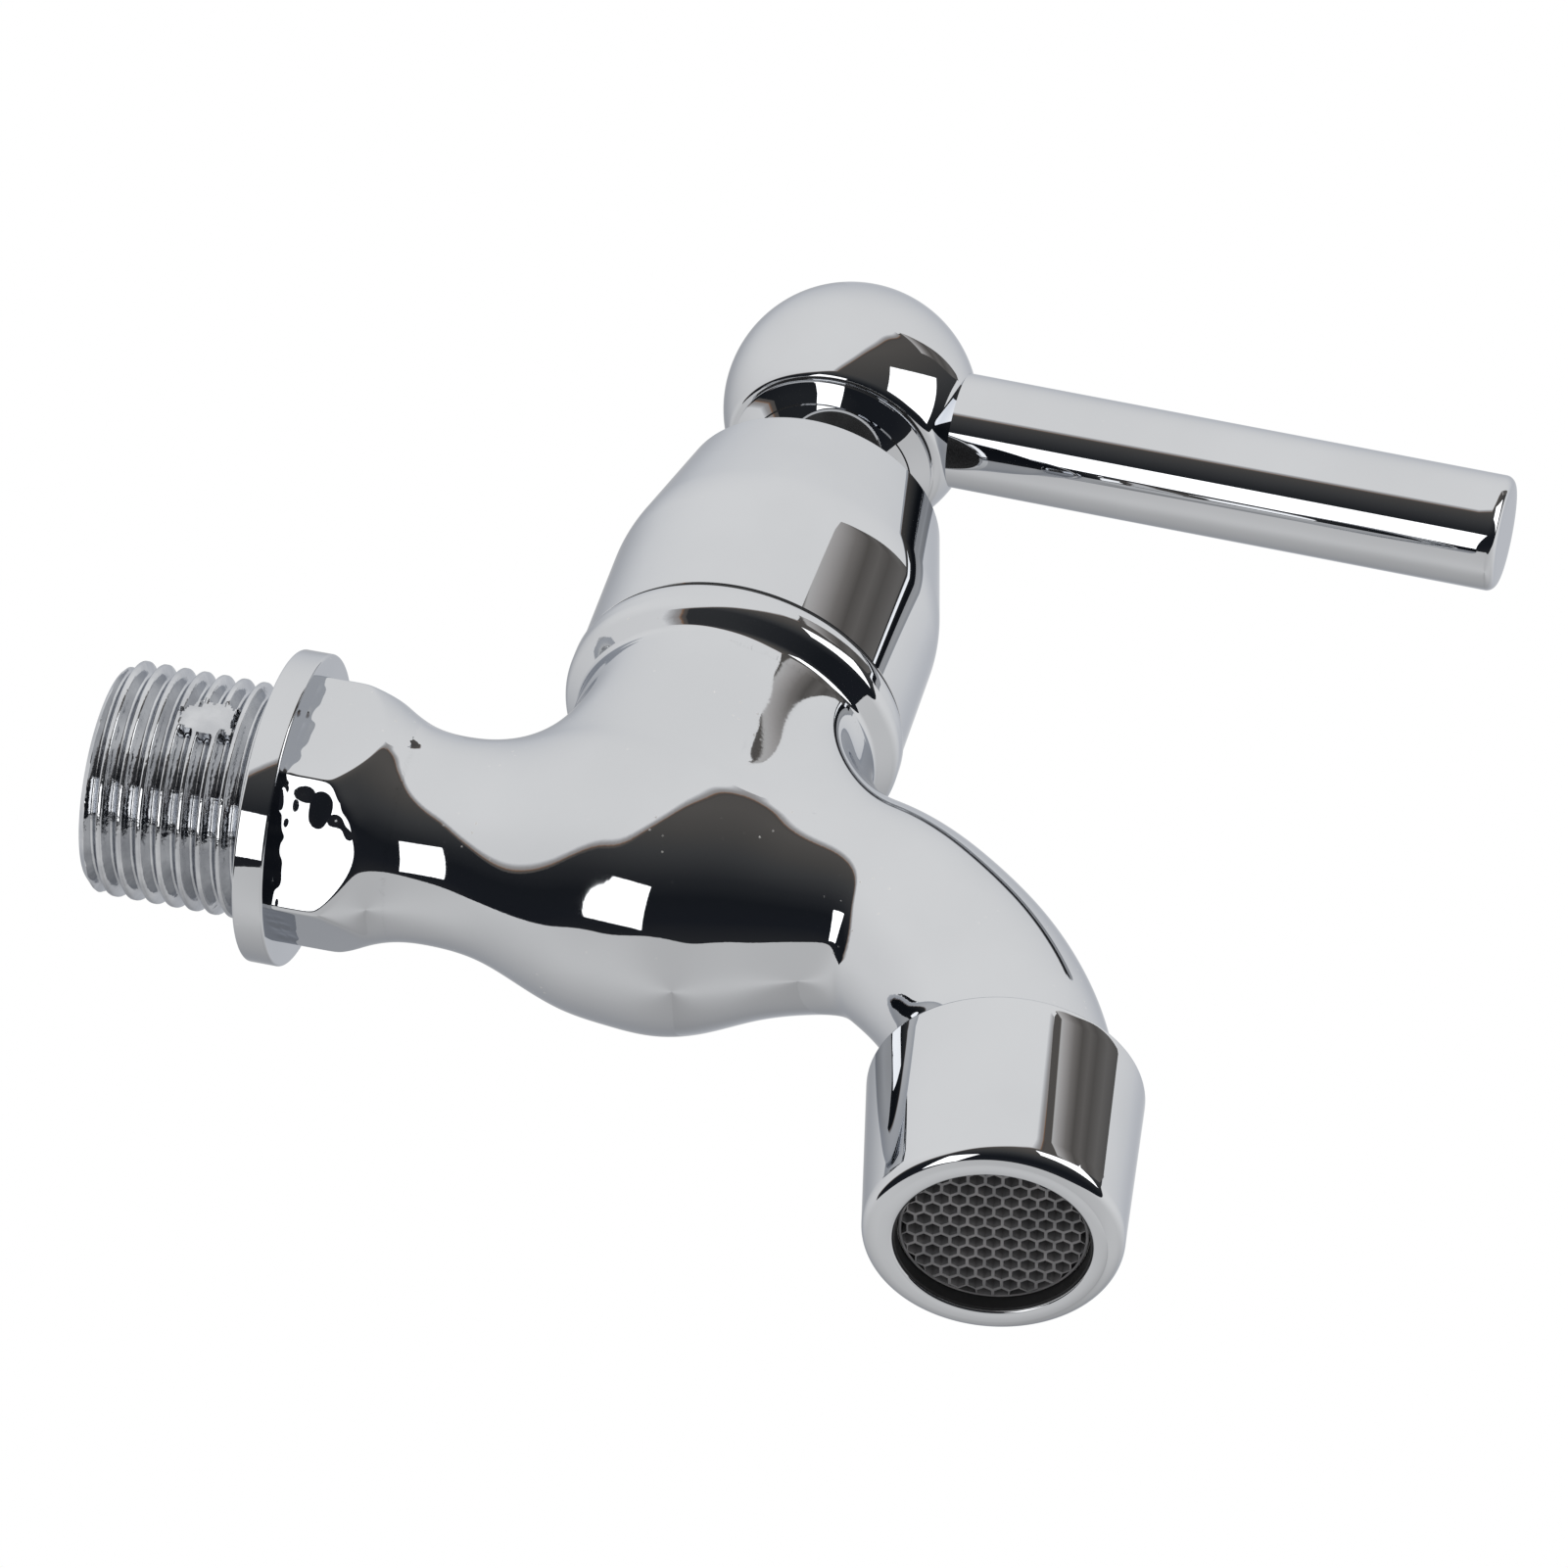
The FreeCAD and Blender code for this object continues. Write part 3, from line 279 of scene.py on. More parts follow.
rubber = finish_material("black_rubber", (0.03, 0.03, 0.03), (0.02, 0.02, 0.02), 0.0, (0.6, 0.75),
                         wave=3.0e-5, wave_size=1500.0)
# Painted shade: a near-black finish for the dark rings put into gaps, where there is only shade
painted_gap_shade = finish_material("painted_gap_shade", (0.014, 0.014, 0.015), (0.009, 0.009, 0.01), 0.0,
                           (0.5, 0.65), tone_size=200.0)
white_plastic = finish_material("white_plastic", (0.8, 0.8, 0.78), (0.74, 0.74, 0.72), 0.0,
                                (0.4, 0.5))
grey_plastic = finish_material("grey_plastic", (0.19, 0.185, 0.19), (0.13, 0.13, 0.135), 0.0,
                               (0.42, 0.6), tone_size=500.0, wave=4.0e-5, wave_size=2500.0)

# %% [markdown]
# ## Pieces carried from the CAD model
# The cartridge, its discs and seals, the stud and the inside of the aerator are hidden in the
# closed tap. Their solids already have the right form, so they are kept as they came and only get
# a finish, in place of being modelled a second time.

# %% Finishes on the carried pieces
node_finish = {
    "cartridge_seal": rubber, "cartridge_body": brass, "seat_washer": rubber,
    "fixed_ceramic_disc": ceramic, "moving_ceramic_disc": ceramic, "spindle": brass,
    "thrust_washer": white_plastic, "spindle_seal_lower": rubber, "spindle_seal_upper": rubber,
    "spindle_clip": steel, "lever_stud": steel, "aerator_washer": rubber,
    "aerator_jacket": white_plastic, "aerator_honeycomb": grey_plastic,
    "aerator_diffuser": white_plastic, "aerator_screen_lower": steel,
    "aerator_screen_upper": steel}
for name, material in node_finish.items():
    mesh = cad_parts[name].data
    mesh.materials.clear()
    mesh.materials.append(material)
print("finishes on carried nodes:", len(node_finish))


# %% [markdown]
# ## The casting
# The brass body is cast in one: a bulb on a wavy pipe that bends down to the spout, with the
# valve's neck melting into it. Lofts with a fillet make such a form in CAD, but their seams show
# in a mirror. So the surface is a field here: the distance to the pipe and the distance to the
# neck, joined by a rolling ball. The field is sampled on a grid, a quad is laid round every grid
# edge that the surface crosses, and each corner slides along the field's slope onto the surface.
# The slope also gives an exact normal, which keeps the reflections smooth.

# %% A smooth curve through the run's sections
def spline_through(places, values, samples):
    """Natural cubic spline through the values, worked out at the samples."""
    count = len(places)
    step = np.diff(places)
    rise = np.diff(values, axis=0) / step[:, None]
    system = np.eye(count)
    right = np.zeros((count, values.shape[1]))
    for i in range(1, count - 1):
        system[i, i - 1:i + 2] = (step[i - 1], 2 * (step[i - 1] + step[i]), step[i])
        right[i] = 6 * (rise[i] - rise[i - 1])
    bend = np.linalg.solve(system, right)
    i = np.clip(np.searchsorted(places, samples) - 1, 0, count - 2)
    h = step[i][:, None]
    a = (places[i + 1] - samples)[:, None] / h
    b = 1 - a
    return (a * values[i] + b * values[i + 1]
            + ((a ** 3 - a) * bend[i] + (b ** 3 - b) * bend[i + 1]) * h * h / 6)


RUN_SAMPLES = 500
run_places = np.concatenate([[0.0], np.cumsum(np.hypot(*np.diff(RUN[:, :2], axis=0).T))])
run_line = spline_through(run_places, RUN, np.linspace(0, run_places[-1], RUN_SAMPLES))
print("length of the run: %.1f mm" % run_places[-1])


# %% The field of the casting on a grid
def run_field(x, y, z):
    """Signed distance to the run: the section through (x, z) is found in the mirror plane."""
    flat_x, flat_z = [side[..., None] for side in np.meshgrid(x, z, indexing="ij")]
    line_x, line_z, dip, radius = run_line.T
    cos, sin = np.cos(np.radians(dip)), np.sin(np.radians(dip))
    along = (flat_x - line_x) * cos - (flat_z - line_z) * sin
    across = (flat_x - line_x) * sin + (flat_z - line_z) * cos
    crossing = (along[..., :-1] >= 0) & (along[..., 1:] < 0)
    found = np.where(crossing, np.abs(across[..., :-1]), np.inf).argmin(-1)
    nearest_end = np.where(along[..., 0] < 0, 0, RUN_SAMPLES - 2)
    found = np.where(crossing.any(-1), found, nearest_end)

    def pick(table, index):
        return np.take_along_axis(table, index[..., None], -1)[..., 0]
    first, second = pick(along, found), pick(along, found + 1)
    share = np.clip(first / np.maximum(first - second, 1e-9), 0, 1)
    height = pick(across, found) * (1 - share) + pick(across, found + 1) * share
    size = radius[found] * (1 - share) + radius[found + 1] * share
    return np.sqrt(height[:, None, :] ** 2 + y[None, :, None] ** 2) - size[:, None, :]


# %% Join two fields by a rolling ball
def rolling_blend(a, b, cosine, radius):
    """Joins two distance fields whose slopes meet at a cosine with a ball's fillet."""
    p, q = radius - a, radius - b
    spread = np.maximum(1 - cosine ** 2, 1e-6)
    near_a, near_b = (p - cosine * q) / spread, (q - cosine * p) / spread
    reach = np.sqrt(np.maximum((p * p + q * q - 2 * cosine * p * q) / spread, 0))
    return np.where((near_a > 0) & (near_b > 0), radius - reach, np.minimum(a, b))


# %% Run and neck joined on a grid
# The least slope that the field is divided by, and how alike two slopes may count at most
LEAST_SLOPE, MOST_ALIKE = 0.2, 0.999


def casting_field(low, high, step):
    """The casting's field and its slope on a grid; the blend is wider at the neck's sides."""
    x, y, z = [np.arange(a, b + step, step) for a, b in zip(low, high)]
    pipe = run_field(x, y, z)
    slope = np.stack(np.gradient(pipe, step), -1)
    steep = np.maximum(np.linalg.norm(slope, axis=-1), LEAST_SLOPE)
    pipe, slope = pipe / steep, slope / steep[..., None]
    out_x, out_y = (x - VALVE_X)[:, None, None], y[None, :, None]
    reach = np.sqrt(out_x ** 2 + out_y ** 2) + 1e-9
    neck = np.repeat(reach - NECK_R, len(z), 2)
    cosine = np.clip((slope[..., 0] * out_x + slope[..., 1] * out_y) / reach,
                     -MOST_ALIKE, MOST_ALIKE)
    aside = np.clip((np.abs(y) - SIDE_FROM) / SIDE_WIDTH, 0, 1)[None, :, None]
    radius = NECK_BLEND_R + SIDE_BLEND * aside ** 2 * (3 - 2 * aside)
    whole = rolling_blend(pipe, neck, cosine, radius)
    whole = np.where(z[None, None, :] < SEAT_Z, pipe, whole)
    return whole, np.stack(np.gradient(whole, step), -1)


# %% Lay quads along the surface of a field
def surface_net(field):
    """Corners in grid units, and quads, with one corner in each cell that the surface crosses."""
    inside = field < 0
    cells = np.zeros([n - 1 for n in field.shape], int) - 1
    cross = [inside.take(range(0, n - 1), axis) != inside.take(range(1, n), axis)
             for axis, n in enumerate(field.shape)]
    total = np.zeros((*cells.shape, 3))
    count = np.zeros(cells.shape)
    for axis, length in enumerate(field.shape):
        first, second = field.take(range(0, length - 1), axis), field.take(range(1, length), axis)
        share = np.where(cross[axis], first / np.where(cross[axis], first - second, 1), 0)
        others = [k for k in range(3) if k != axis]
        for shifts in np.ndindex(2, 2):
            cut = [slice(None)] * 3
            for k, shift in zip(others, shifts):
                cut[k] = slice(shift, field.shape[k] - 1 + shift)
            hit = cross[axis][tuple(cut)]
            place = np.zeros((*cells.shape, 3))
            place[..., axis] = share[tuple(cut)]
            place[..., others] = shifts
            total += place * hit[..., None]
            count += hit
    used = count > 0
    cells[used] = np.arange(used.sum())
    corners = np.argwhere(used) + total[used] / count[used][:, None]
    quads = []
    for axis in range(3):
        others = [k for k in range(3) if k != axis]
        place = np.argwhere(cross[axis])
        place = place[np.all([(place[:, k] > 0) & (place[:, k] < field.shape[k] - 1)
                              for k in others], axis=0)]
        ring = []
        for shifts in ((-1, -1), (0, -1), (0, 0), (-1, 0)):
            index = place.copy()
            index[:, others] += shifts
            ring.append(cells[tuple(index.T)])
        quad = np.stack(ring, 1)
        turn = inside[tuple(place.T)] ^ (axis == 1)
        quad[~turn] = quad[~turn][:, ::-1]
        quads.append(quad)
    return corners, np.concatenate(quads)


# %% Read a grid between its points
def sample_grid(table, places):
    """Values of a grid at places between its points, by straight mixing."""
    top = np.array(table.shape[:3]) - 2
    base = np.clip(np.floor(places).astype(int), 0, top)
    share = np.clip(places - base, 0, 1)
    out = 0
    for corner in np.ndindex(2, 2, 2):
        weight = np.prod(np.where(corner, share, 1 - share), axis=1)
        value = table[tuple((base + corner).T)]
        out = out + (weight[:, None] * value if value.ndim > 1 else weight * value)
    return out


# %% [markdown]
# ## A finished piece
# Each visible piece of the tap has to turn with its body and hide the CAD nodes it stands for.
# That could be written out for every piece. One helper does it, so no piece is left behind when
# the handle turns.

# %% Helpers that make a finished piece
def unit(vectors):
    return vectors / np.maximum(np.linalg.norm(vectors, axis=-1, keepdims=True), 1e-12)


def place_piece(name, mesh, body, nodes):
    """A mesh made a piece that rides on a body and stands for CAD nodes."""
    piece = add_object(name, mesh)
    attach(piece, body)
    if nodes:
        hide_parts(*nodes)
    print("%-18s %6d faces" % (name, len(mesh.polygons)))


def make_piece(name, corners, faces, material, body, nodes, normals=None, sharp=32.0):
    """A piece from corners in millimetres, smooth below the sharp angle or by given normals."""
    mesh = bpy.data.meshes.new(name)
    mesh.from_pydata((np.asarray(corners) * MM).tolist(), [], [list(map(int, f)) for f in faces])
    mesh.validate()
    mesh.shade_smooth()
    if normals is None:
        mesh.set_sharp_from_angle(angle=math.radians(sharp))
    else:
        mesh.normals_split_custom_set_from_vertices(unit(normals).tolist())
    mesh.materials.append(material)
    place_piece(name, mesh, body, nodes)


# %% [markdown]
# ### Casting from hexagon to spout
# A fine grid costs time and faces, a coarse one shows in the reflections: a third of a millimetre
# is enough here, since the normals come from the field. The end inside the aerator housing is
# cut off where nobody sees it.

# %% The casting from hexagon to spout
GRID, SLIDES = 0.36, 3
CASTING_LOW = np.array([HEXAGON_END - 0.6, -16.2, -24.0])
CASTING_HIGH = np.array([84.0, 16.2, COLLAR_FOOT + 0.4])
HIDDEN_IN_HOUSING = 1.5

# Each corner slides along the slope onto the surface
field, slope = casting_field(CASTING_LOW, CASTING_HIGH, GRID)
corners, quads = surface_net(field)
for _ in range(SLIDES):
    value = sample_grid(field, corners)
    steepness = sample_grid(slope, corners)
    corners = corners - (value / (steepness ** 2).sum(-1))[:, None] * steepness / GRID
normals = unit(sample_grid(slope, corners))
corners = corners * GRID + CASTING_LOW

# What lies deeper in the aerator housing than its edge is cut off
OUTLET = (OUTLET_X, 0, 0)
tilt = math.radians(OUTLET_TILT)
outlet_down = np.array([math.sin(tilt), 0, -math.cos(tilt)])
depth = (corners - OUTLET) @ outlet_down
kept = (depth < HOUSING_TOP + HIDDEN_IN_HOUSING)[quads].all(1)
used = np.unique(quads[kept])
renumber = np.zeros(len(corners), int)
renumber[used] = np.arange(len(used))
make_piece("casting", corners[used], renumber[quads[kept]], cast_chrome, "tap",
           ["tap_body"], normals[used])


# %% [markdown]
# ## Turned pieces
# Cover, ball, ring, rod, flange and housing are turned on a lathe. Blender's Spin or Screw could
# sweep an outline in the same way. Here the outline is spun in code, so that its arcs can be
# given as fillets of straight corners, as on a drawing, and every corner is shared and closed.

# %% Outline with rounded corners, spun round an axis
def rounded(points, turns=10):
    """Points (along, radius) or (along, radius, fillet) as a polyline with each fillet drawn."""
    line = []
    for i, point in enumerate(points):
        here = np.array(point[:2], float)
        if len(point) < 3:
            line.append(here)
            continue
        back = unit(np.array(points[i - 1][:2], float) - here)
        on = unit(np.array(points[i + 1][:2], float) - here)
        half = math.acos(np.clip(back @ on, -1, 1)) / 2
        start = here + back * point[2] / math.tan(half)
        middle = here + unit(back + on) * point[2] / math.sin(half)
        end = here + on * point[2] / math.tan(half)
        first, last = start - middle, end - middle
        sweep = math.acos(np.clip(unit(first) @ unit(last), -1, 1))
        for t in np.linspace(0, 1, turns):
            line.append(middle + (math.sin((1 - t) * sweep) * first + math.sin(t * sweep) * last)
                        / math.sin(sweep))
    return np.array(line)


# %% Cut long sides into even parts
def densified(line, longest=1.2):
    """The polyline with long sides cut into even parts."""
    out = [line[0]]
    for start, end in zip(line, line[1:]):
        parts = max(1, math.ceil(np.hypot(*(end - start)) / longest))
        out += [start + (end - start) * k / parts for k in range(1, parts + 1)]
    return np.array(out)


# %% Spin the outline
def spin(line, lathe, segments):
    """A surface of revolution, turned outwards; a lathe is an origin, an axis and a side."""
    origin, axis, side = lathe
    axis, side = unit(np.array(axis, float)), unit(np.array(side, float))
    third = np.cross(axis, side)
    angle = np.arange(segments) * 2 * math.pi / segments
    ring = np.cos(angle)[:, None] * side + np.sin(angle)[:, None] * third
    corners, rows = [], []
    for along, radius in line:
        middle = np.array(origin) + along * axis
        if radius < 1e-6:
            rows.append([len(corners)] * segments)
            corners.append(middle)
        else:
            rows.append(list(range(len(corners), len(corners) + segments)))
            corners += list(middle + radius * ring)
    faces = []
    for low, high in zip(rows, rows[1:]):
        for k in range(segments):
            after = (k + 1) % segments
            face = [low[k], high[k], high[after], low[after]]
            face = [v for i, v in enumerate(face) if v != face[i - 1]]
            if len(face) > 2:
                faces.append(face)
    return np.array(corners), faces


# %% A turned piece, and the three axes it may turn on
def turned_piece(name, points, lathe, material, body, nodes=(), segments=256, sharp=32.0,
                 turns=10):
    """A piece spun from an outline."""
    corners, faces = spin(densified(rounded(points, turns)), lathe, segments)
    make_piece(name, corners, faces, material, body, nodes, sharp=sharp)


UP, RIGHT, BACK = (0, 0, 1), (1, 0, 0), (0, 1, 0)
ON_VALVE = ((VALVE_X, 0, 0), UP, RIGHT)
ON_OUTLET = (OUTLET, outlet_down, BACK)
ON_INLET = ((0, 0, 0), RIGHT, BACK)

# %% [markdown]
# ### Collar and joint line
# The neck widens to a collar that the cover is screwed down to, and the two meet at a fine black
# line, the shade of the gap between them. Paint could draw that line, but it would have no depth
# from the side, so the painted shade is a dark ring in a real gap. The collar's underside is a cone
# between two fillets: that gives the broad dark crescent with a bright streak along each edge.

# %% Collar under the cover
COVER_FOOT = COLLAR_TOP + JOINT_GAP
JOINT_R, JOINT_LOW, JOINT_HIGH = 13.0, COLLAR_TOP - 0.1, COVER_FOOT + 0.1
turned_piece("collar", [
    (COLLAR_FOOT, NECK_R - 1.0), (COLLAR_FOOT, NECK_R), (COLLAR_CONE_LOW, NECK_R, 0.9),
    (COLLAR_CONE_HIGH, COLLAR_R, 1.8), (COLLAR_TOP - 0.3, COLLAR_R),
    (COLLAR_TOP - 0.09, COLLAR_R - 0.09), (COLLAR_TOP, COLLAR_R - 0.3), (COLLAR_TOP, COVER_BORE_R),
    (COLLAR_FOOT, COVER_BORE_R), (COLLAR_FOOT, NECK_R - 1.0)],
    ON_VALVE, cast_chrome, "tap", turns=24)
# Painted shade: a dark ring in the gap between collar and cover
turned_piece("joint_line", [
    (JOINT_LOW, JOINT_R), (JOINT_LOW, COVER_R - 0.05), (JOINT_HIGH, COVER_R - 0.05),
    (JOINT_HIGH, JOINT_R), (JOINT_LOW, JOINT_R)], ON_VALVE, painted_gap_shade, "tap")

# %% [markdown]
# ### Cover
# The cover hides the cartridge: a cylinder, a cone and a soft shoulder between them. A Bevel
# modifier could round a hard corner, but its few segments would break the tall reflections. A
# large fillet in the spun outline runs smoothly.

# %% Cover: cylinder, rounded shoulder, cone and flat top with a thin edge
turned_piece("cover", [
    (COVER_FOOT, COVER_BORE_R), (COVER_FOOT, COVER_R - 0.1), (COVER_FOOT + 0.1, COVER_R),
    (COVER_CONE_Z, COVER_R, COVER_SHOULDER_R), (COVER_TOP_Z - COVER_EDGE, COVER_TOP_R, 0.1),
    (COVER_TOP_Z, COVER_TOP_R - COVER_EDGE, 0.1), (COVER_TOP_Z, COVER_HOLE_R),
    (COVER_FOOT, COVER_HOLE_R), (COVER_FOOT, COVER_BORE_R)],
    ON_VALVE, turned_chrome, "tap", ["bonnet_cover"], turns=24)

# %% [markdown]
# ### Ring under the ball, and the painted shade below it
# A ring with two steps fills the gap between cover and ball. Square steps would mirror only the
# cover, so each step is a cone that leans far enough to mirror a soft box over the cover's rim.
# Below it a flat dark ring lies on the cover's top as painted shade under the handle, seen only as
# a dark shape in the ring: a flat ring is enough.

# %% Stepped ring and painted shade ring
turned_piece("neck_ring", [
    (RING_FOOT, STEM_BORE_R), (RING_FOOT, 6.2), (53.18, 6.2), (53.2, 6.3), (54.18, 7.53),
    (54.22, 7.68), (55.36, 9.11), (55.42, 9.2), (55.62, 9.2, 0.08), (BALL_CUT_Z, 9.12),
    (BALL_CUT_Z, STEM_BORE_R), (RING_FOOT, STEM_BORE_R)],
    ON_VALVE, turned_chrome, "handle", ["handle_neck_ring"], sharp=15.0)
# Painted shade: a dark ring laid on the cover's top, under the handle
SHADE_RING_R, SHADE_RING_HOLE_R = 11.4, 7.2
SHADE_RING_LOW, SHADE_RING_TOP = COVER_TOP_Z - 0.1, COVER_TOP_Z + 0.04
turned_piece("cover_top_shade", [
    (SHADE_RING_LOW, SHADE_RING_HOLE_R), (SHADE_RING_LOW, SHADE_RING_R), (SHADE_RING_TOP, SHADE_RING_R, 0.02),
    (SHADE_RING_TOP, SHADE_RING_HOLE_R), (SHADE_RING_LOW, SHADE_RING_HOLE_R)],
    ON_VALVE, painted_gap_shade, "tap")

# %% [markdown]
# ### Ball
# The handle's ball is cut flat below, where it sits on the ring. A UV sphere would do, with its
# lower part cut away. Spinning an arc gives the flat, its rounded rim and a closed pole at once.

# %% Ball with its flat underside and rounded rim
cut_r = math.sqrt(BALL_R ** 2 - (BALL_Z - BALL_CUT_Z) ** 2)
ball = [(BALL_CUT_Z, STEM_BORE_R), (BALL_CUT_Z, cut_r - BALL_RIM), (BALL_CUT_Z + 0.08, cut_r - 0.1)]
start_angle = math.atan2(BALL_CUT_Z + BALL_RIM - BALL_Z, cut_r)
for angle in np.linspace(start_angle, math.pi / 2, 60):
    ball.append((BALL_Z + BALL_R * math.sin(angle), max(BALL_R * math.cos(angle), 0.0)))
turned_piece("ball", ball, ON_VALVE, turned_chrome, "handle", ["handle_ball"], sharp=40.0)

# %% [markdown]
# ### Lever
# The lever is a plain rod that droops a little from the ball. A Blender cylinder would do for its
# side, but its free end has a soft edge that catches a bright line, so it is spun as well.

# %% Lever rod with a softly rounded free end
droop = math.radians(ROD_DROOP)
rod_lathe = ((VALVE_X, 0, BALL_Z), (math.cos(droop), 0, -math.sin(droop)), BACK)
turned_piece("rod", [(ROD_START, 0.0), (ROD_START, ROD_R), (ROD_END, ROD_R, 0.9), (ROD_END, 0.0)],
             rod_lathe, turned_chrome, "handle", ["lever_rod"], segments=192)

# %% [markdown]
# ### Aerator housing and flange
# The housing is a tapered sleeve screwed on the spout, with a round lip at its mouth. The flange
# is the disc behind the hexagon. Both show their edges as thin bright lines, which need real
# fillets: a bump map has no outline.

# %% Housing and flange
HOUSING_LAND_R, HOUSING_WALL_R, HOUSING_STEP = 9.0, 10.4, 29.0
HOUSING_SEAT, HOUSING_SEAT_R = 34.3, 9.3
turned_piece("housing", [
    (HOUSING_TOP, HOUSING_LAND_R), (HOUSING_TOP, HOUSING_TOP_R, 0.28),
    (HOUSING_END, HOUSING_END_R, 1.5), (HOUSING_END, HOUSING_MOUTH_R, 0.25),
    (HOUSING_SEAT, HOUSING_MOUTH_R), (HOUSING_SEAT, HOUSING_SEAT_R),
    (HOUSING_STEP, HOUSING_SEAT_R), (HOUSING_STEP, HOUSING_WALL_R),
    (HOUSING_TOP, HOUSING_WALL_R), (HOUSING_TOP, HOUSING_LAND_R)],
    ON_OUTLET, turned_chrome, "tap", ["aerator_housing"], turns=16)
turned_piece("flange", [
    (0.0, INLET_BORE_R), (0.0, FLANGE_R, 0.25), (FLANGE_THICK, FLANGE_R, 0.25),
    (FLANGE_THICK, 9.0), (FLANGE_THICK, INLET_BORE_R), (0.0, INLET_BORE_R)],
    ON_INLET, cast_chrome, "tap")


# %% [markdown]
# ## Hexagon
# The wrench hexagon is cut from the root of the run, so its flats die out in round arcs. A boolean
# of a prism and the run would make it, with ragged edges in a mirror. Instead each ring is the
# smaller of the run's circle and the six flats, with the edge between them a little soft. The
# wrench left small dents on one side, which are local tilts of the surface, and the hexagon's
# foot ripples where it was filed along the flange.

# %% Hexagon between flange and waist
# Each dent: place along the axis and round it in degrees, width along and round in mm, and slope
DENTS = [(6.6, 222.5, 1.5, 1.1, 0.3), (8.9, 227.0, 0.8, 0.7, 0.2)]
# The ripple: height in mm, waves round the hexagon and phase, and its place and width along x
RIPPLES = [(0.04, 11, 0), (0.03, 19, 1), (0.02, 31, 2)]
RIPPLE_X, RIPPLE_WIDTH = 3.2, 0.5
EDGE_HARDNESS = 90.0
# A flat counts only where it faces the ring's side; elsewhere it is put out of reach
LEAST_LEAN, OUT_OF_REACH = 0.2, 1e3


def hexagon_piece():
    """Rings of the smaller of circle and flats, joined by quads."""
    x = np.linspace(FLANGE_THICK - 0.3, HEXAGON_END, 80)[:, None]
    angle = np.arange(720) * math.pi / 360
    lift, radius = [np.interp(x, run_line[:, 0], run_line[:, k]) for k in (1, 3)]
    sizes = [np.repeat(radius, len(angle), 1)]
    for facing in np.radians(np.arange(0, 360, 60)):
        lean = np.cos(angle - facing)
        flat = HEXAGON_FLATS / 2 - lift * math.sin(facing)
        sizes.append(np.where(lean > LEAST_LEAN, flat / np.maximum(lean, LEAST_LEAN),
                              OUT_OF_REACH))
    size = (np.array(sizes) ** -EDGE_HARDNESS).sum(0) ** (-1 / EDGE_HARDNESS)
    for dent_x, dent_angle, long, wide, tilted in DENTS:
        off_x, off_turn = x - dent_x, size * (angle - math.radians(dent_angle))
        size = size + tilted * off_x * np.exp(-((off_x / long) ** 2 + (off_turn / wide) ** 2) / 2)
    ripple = sum(high * np.sin(waves * angle + phase) for high, waves, phase in RIPPLES)
    size = size + ripple * np.exp(-((x - RIPPLE_X) / RIPPLE_WIDTH) ** 2)
    corners = np.stack([np.repeat(x, len(angle), 1), size * np.cos(angle),
                        lift + size * np.sin(angle)], -1)
    rows = np.arange(size.size).reshape(size.shape)
    after = np.roll(rows, -1, 1)
    faces = np.stack([rows[:-1], after[:-1], after[1:], rows[1:]], -1).reshape(-1, 4)
    make_piece("hexagon", corners.reshape(-1, 3), faces, cast_chrome, "tap", [],
               sharp=25.0)


hexagon_piece()

# %% [markdown]
# ## Inlet thread
# The half-inch pipe thread is a ridge that climbs round the pipe. The Screw modifier could sweep
# a tooth, but its start and its chamfer would need patching. Geometry Nodes bend a flat grid into
# a pipe instead, whose radius follows the place along the axis less the share of a turn. On the
# near side a few grooves are filled in a ragged patch, where the radius follows a plane.

# %% Helpers that end a tree and keep its result
def finish_tree(tree, end, last, material):
    """Ends a tree in Realize Instances and Set Material, because the export drops instances."""
    real = add_node(tree, "GeometryNodeRealizeInstances", {"Geometry": last.outputs[0]})
    paint = add_node(tree, "GeometryNodeSetMaterial", {
        "Geometry": real.outputs[0], "Material": material})
    tree.links.new(paint.outputs[0], end.inputs[0])
    return tree


def grow(name, tree, values, body, nodes=(), sharp=40.0):
    """Runs a Geometry Nodes tree on an empty mesh and keeps the result as a plain piece."""
    seed = add_object(name + "_seed", bpy.data.meshes.new(name + "_seed"))
    modifier = seed.modifiers.new("grow", "NODES")
    modifier.node_group = tree
    for item in tree.interface.items_tree:
        if item.in_out == "INPUT" and item.name in values:
            modifier[item.identifier] = values[item.name]
    graph = bpy.context.evaluated_depsgraph_get()
    mesh = bpy.data.meshes.new_from_object(seed.evaluated_get(graph))
    bpy.data.objects.remove(seed)
    mesh.name = name
    mesh.shade_smooth()
    mesh.set_sharp_from_angle(angle=math.radians(sharp))
    place_piece(name, mesh, body, nodes)


# %% Filled patch on the thread
PATCH_HEIGHT, PATCH_HALF, LEAST_FACING = -0.08, 0.2, 0.5
# The outline's noise: its size along the pipe and round it, how far it reaches, and its shift
RAGGED_ALONG, RAGGED_ROUND, RAGGED_REACH, RAGGED_SHIFT = 1100.0, 9.0, 3.2, -0.8


